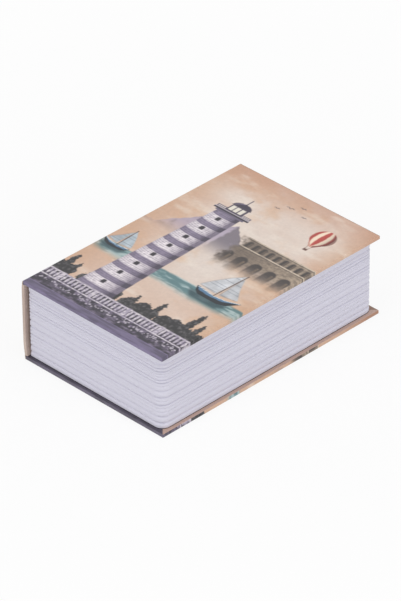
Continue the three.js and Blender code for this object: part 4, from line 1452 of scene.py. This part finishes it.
def rounded_copy(name, radius_mm):
    piece = own_copy(frame["nodes"][name])
    bpy.ops.object.mode_set(mode="EDIT")
    bpy.ops.mesh.select_all(action="SELECT")
    bpy.ops.mesh.remove_doubles(threshold=NEAR)
    bpy.ops.mesh.dissolve_limited(angle_limit=FLAT_ANGLE)
    bpy.ops.object.mode_set(mode="OBJECT")
    if piece.data.has_custom_normals:
        bpy.ops.mesh.customdata_custom_splitnormals_clear()
    edges = {"limit_method": "ANGLE", "angle_limit": EDGE_ANGLE}
    apply_modifier(piece, "edge radius", "BEVEL", width=radius_mm * MM, segments=ROUND_STEPS, **edges)
    smooth(piece)
    apply_modifier(piece, "flat faces stay flat", "WEIGHTED_NORMAL", keep_sharp=True)
    finish_piece(piece, f"finished_{name}", BODY_OF[name], SLOT_OF[name], [name])
    return piece


for name, radius in EDGE_RADII.items():
    piece = rounded_copy(name, radius)
    print(name, "has", len(piece.data.polygons), "faces")

# %% [markdown]
# Rivets are headed and the lock's body is turned, so they are round. Each is a profile, drawn by extruding
# one point from place to place, and spun once round its axis.

# %% Spin a profile
TURN_STEPS = 72
CORNER_STEPS = 4
TOUCHING = 1e-7


def turned(profile, steps=TURN_STEPS):
    """A piece round the Z axis. The profile is places of (distance from the axis, height) in mm. Its ends
    are on the axis, or else it is closed."""
    select_only()
    bpy.ops.mesh.primitive_plane_add(size=MM, location=(0, 0, 0))
    piece = bpy.context.object
    bpy.ops.object.mode_set(mode="EDIT")
    bpy.ops.mesh.select_mode(type="VERT")
    bpy.ops.mesh.select_all(action="SELECT")
    bpy.ops.mesh.merge(type="CENTER")
    ends = [Vector((radius * MM, 0, height * MM)) for radius, height in (profile[0], profile[-1])]
    bpy.ops.transform.translate(value=ends[0])
    for (radius, height), (next_radius, next_height) in zip(profile, profile[1:]):
        shift = ((next_radius - radius) * MM, 0, (next_height - height) * MM)
        bpy.ops.mesh.extrude_vertices_move(TRANSFORM_OT_translate={"value": shift})
    if profile[0][0] > 0:
        mesh_edit = bmesh.from_edit_mesh(piece.data)
        for v in mesh_edit.verts:
            v.select_set(any((v.co - end).length < TOUCHING for end in ends))
        bpy.ops.mesh.edge_face_add()
    bpy.ops.mesh.select_all(action="SELECT")
    bpy.ops.mesh.spin(steps=steps, angle=2 * math.pi, center=(0, 0, 0), axis=(0, 0, 1))
    bpy.ops.mesh.select_all(action="SELECT")
    bpy.ops.mesh.remove_doubles(threshold=TOUCHING)
    end_edit()
    smooth(piece)
    return piece


def rounded(corner_in, corner, corner_out, radius, steps=CORNER_STEPS):
    """Places round a corner of a profile, from the side of corner_in to the side of corner_out."""
    corner = Vector(corner)
    to_in = (Vector(corner_in) - corner).normalized()
    to_out = (Vector(corner_out) - corner).normalized()
    centre = corner + (to_in + to_out) * radius
    places = []
    for step in range(steps + 1):
        turn = math.pi / 2 * step / steps
        places.append(tuple(centre - to_out * radius * math.cos(turn) - to_in * radius * math.sin(turn)))
    return places


# %% Rivets
RIVET_STEPS = 40
RIVET_SHANK = 1.1
RIVET_HEAD = 0.5
RIVET_CROWN_STEPS = 6


def rivet_profile(length, radius):
    """A shank with a low round head at each end, from its upper end down."""
    grip = length / 2 - RIVET_HEAD
    upper = []
    for step in range(RIVET_CROWN_STEPS + 1):
        turn = math.pi / 2 * step / RIVET_CROWN_STEPS
        upper.append((radius * math.sin(turn), grip + RIVET_HEAD * math.cos(turn)))
    upper.append((RIVET_SHANK, grip))
    return upper + [(away, -height) for away, height in reversed(upper)]


RIVET_MODELS = {}
for name in (n for n in frame["nodes"] if "_rivet_" in n):
    low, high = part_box(name)
    size = high - low
    along = min(range(3), key=lambda k: size[k])
    length = round(size[along] / MM, 2)
    if (along, length) not in RIVET_MODELS:
        model = turned(rivet_profile(length, max(size) / 2 / MM), RIVET_STEPS)
        if along == 0:
            model.rotation_euler = (0, math.pi / 2, 0)
            bpy.ops.object.transform_apply()
        RIVET_MODELS[along, length] = model
    piece = own_copy(RIVET_MODELS[along, length])
    piece.location = (low + high) / 2
    bpy.ops.object.transform_apply()
    finish_piece(piece, f"headed_{name}", BODY_OF[name], SLOT_OF[name], [name])
for model in RIVET_MODELS.values():
    bpy.data.objects.remove(model)
print("rivets of", sorted(RIVET_MODELS))

# %% [markdown]
# The lock's body is a nickel-plated casting with a turned bezel and a threaded shank. The thread is drawn
# as rings 1 mm apart, because its slope is too small to see. Two flats, which stop the lock from turning in
# the lid, are cut off the shank with a box on each side.

# %% Lock body and washer
LOCK_LOW, LOCK_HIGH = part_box("lock_housing")
LOCK_AXIS = ((LOCK_LOW.x + LOCK_HIGH.x) / 2, (LOCK_LOW.y + LOCK_HIGH.y) / 2)
BEZEL_RADIUS = 9.0
BEZEL_ROUND = 0.7
BEZEL_ROUND_STEPS = 6
BEZEL_TOP = LOCK_HIGH.z / MM
BEZEL_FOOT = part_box("lid")[1].z / MM
SHANK_END = LOCK_LOW.z / MM
SHANK_RADIUS = 6.0
SHANK_CHAMFER = 0.4
THREAD_START = 1.2
THREAD_PITCH = 1.0
# How far down and how far in each place of a ring of the thread is.
THREAD_RING = ((0.0, 0.0), (0.4, 0.45), (0.5, 0.45), (0.9, 0.0))
BORE_RADIUS = 4.2
BORE_CHAMFER = 0.2
FLAT_AWAY = 5.2
FLAT_CUT = 3.0
CUT_PAST_END = 1.0
WASHER_RADII = (6.2, 9.5)
WASHER_ROUND = 0.12
WASHER_ROUND_STEPS = 2


def housing_profile():
    corner = ((BORE_RADIUS, BEZEL_TOP), (BEZEL_RADIUS, BEZEL_TOP), (BEZEL_RADIUS, BEZEL_FOOT))
    crown = rounded(*corner, BEZEL_ROUND, BEZEL_ROUND_STEPS)
    places = [(BORE_RADIUS, BEZEL_TOP - BORE_CHAMFER), (BORE_RADIUS + BORE_CHAMFER, BEZEL_TOP), *crown]
    places += [(BEZEL_RADIUS, BEZEL_FOOT), (SHANK_RADIUS, BEZEL_FOOT)]
    height = BEZEL_FOOT - THREAD_START
    while height - THREAD_PITCH > SHANK_END + SHANK_CHAMFER:
        places += [(SHANK_RADIUS - inward, height - down) for down, inward in THREAD_RING]
        height -= THREAD_PITCH
    places += [(SHANK_RADIUS, SHANK_END + SHANK_CHAMFER), (SHANK_RADIUS - SHANK_CHAMFER, SHANK_END)]
    return places + [(BORE_RADIUS, SHANK_END)]


def put_on_lock_axis(piece):
    select_only(piece)
    piece.location = (*LOCK_AXIS, 0)
    bpy.ops.object.transform_apply()


def cut_flats(piece):
    for side in (-1, 1):
        middle_z = (SHANK_END - CUT_PAST_END + BEZEL_FOOT) / 2
        middle = (0, side * (FLAT_AWAY + FLAT_CUT / 2) * MM, middle_z * MM)
        size = (2 * BEZEL_RADIUS * MM, FLAT_CUT * MM, (BEZEL_FOOT - SHANK_END + CUT_PAST_END) * MM)
        box = box_at(middle, size)
        apply_modifier(piece, "flat", "BOOLEAN", object=box, operation="DIFFERENCE", solver="EXACT")
        bpy.data.objects.remove(box)


housing = turned(housing_profile())
cut_flats(housing)
smooth(housing)
put_on_lock_axis(housing)
finish_piece(housing, "turned_lock_housing", "lid", "nickel", ["lock_housing"])

WASHER_LOW, WASHER_HIGH = (corner.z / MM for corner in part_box("lock_washer"))
inner, outer = WASHER_RADII
WASHER_CORNERS = ((inner, WASHER_LOW), (outer, WASHER_LOW), (outer, WASHER_HIGH), (inner, WASHER_HIGH))
washer_profile = []
for step in range(4):
    corner = (WASHER_CORNERS[(step + shift) % 4] for shift in (-1, 0, 1))
    washer_profile += rounded(*corner, WASHER_ROUND, WASHER_ROUND_STEPS)
washer = turned(washer_profile)
put_on_lock_axis(washer)
finish_piece(washer, "turned_lock_washer", "lid", "zinc_steel", ["lock_washer"])
print("lock body has", len(housing.data.polygons), "faces and the washer", len(washer.data.polygons))
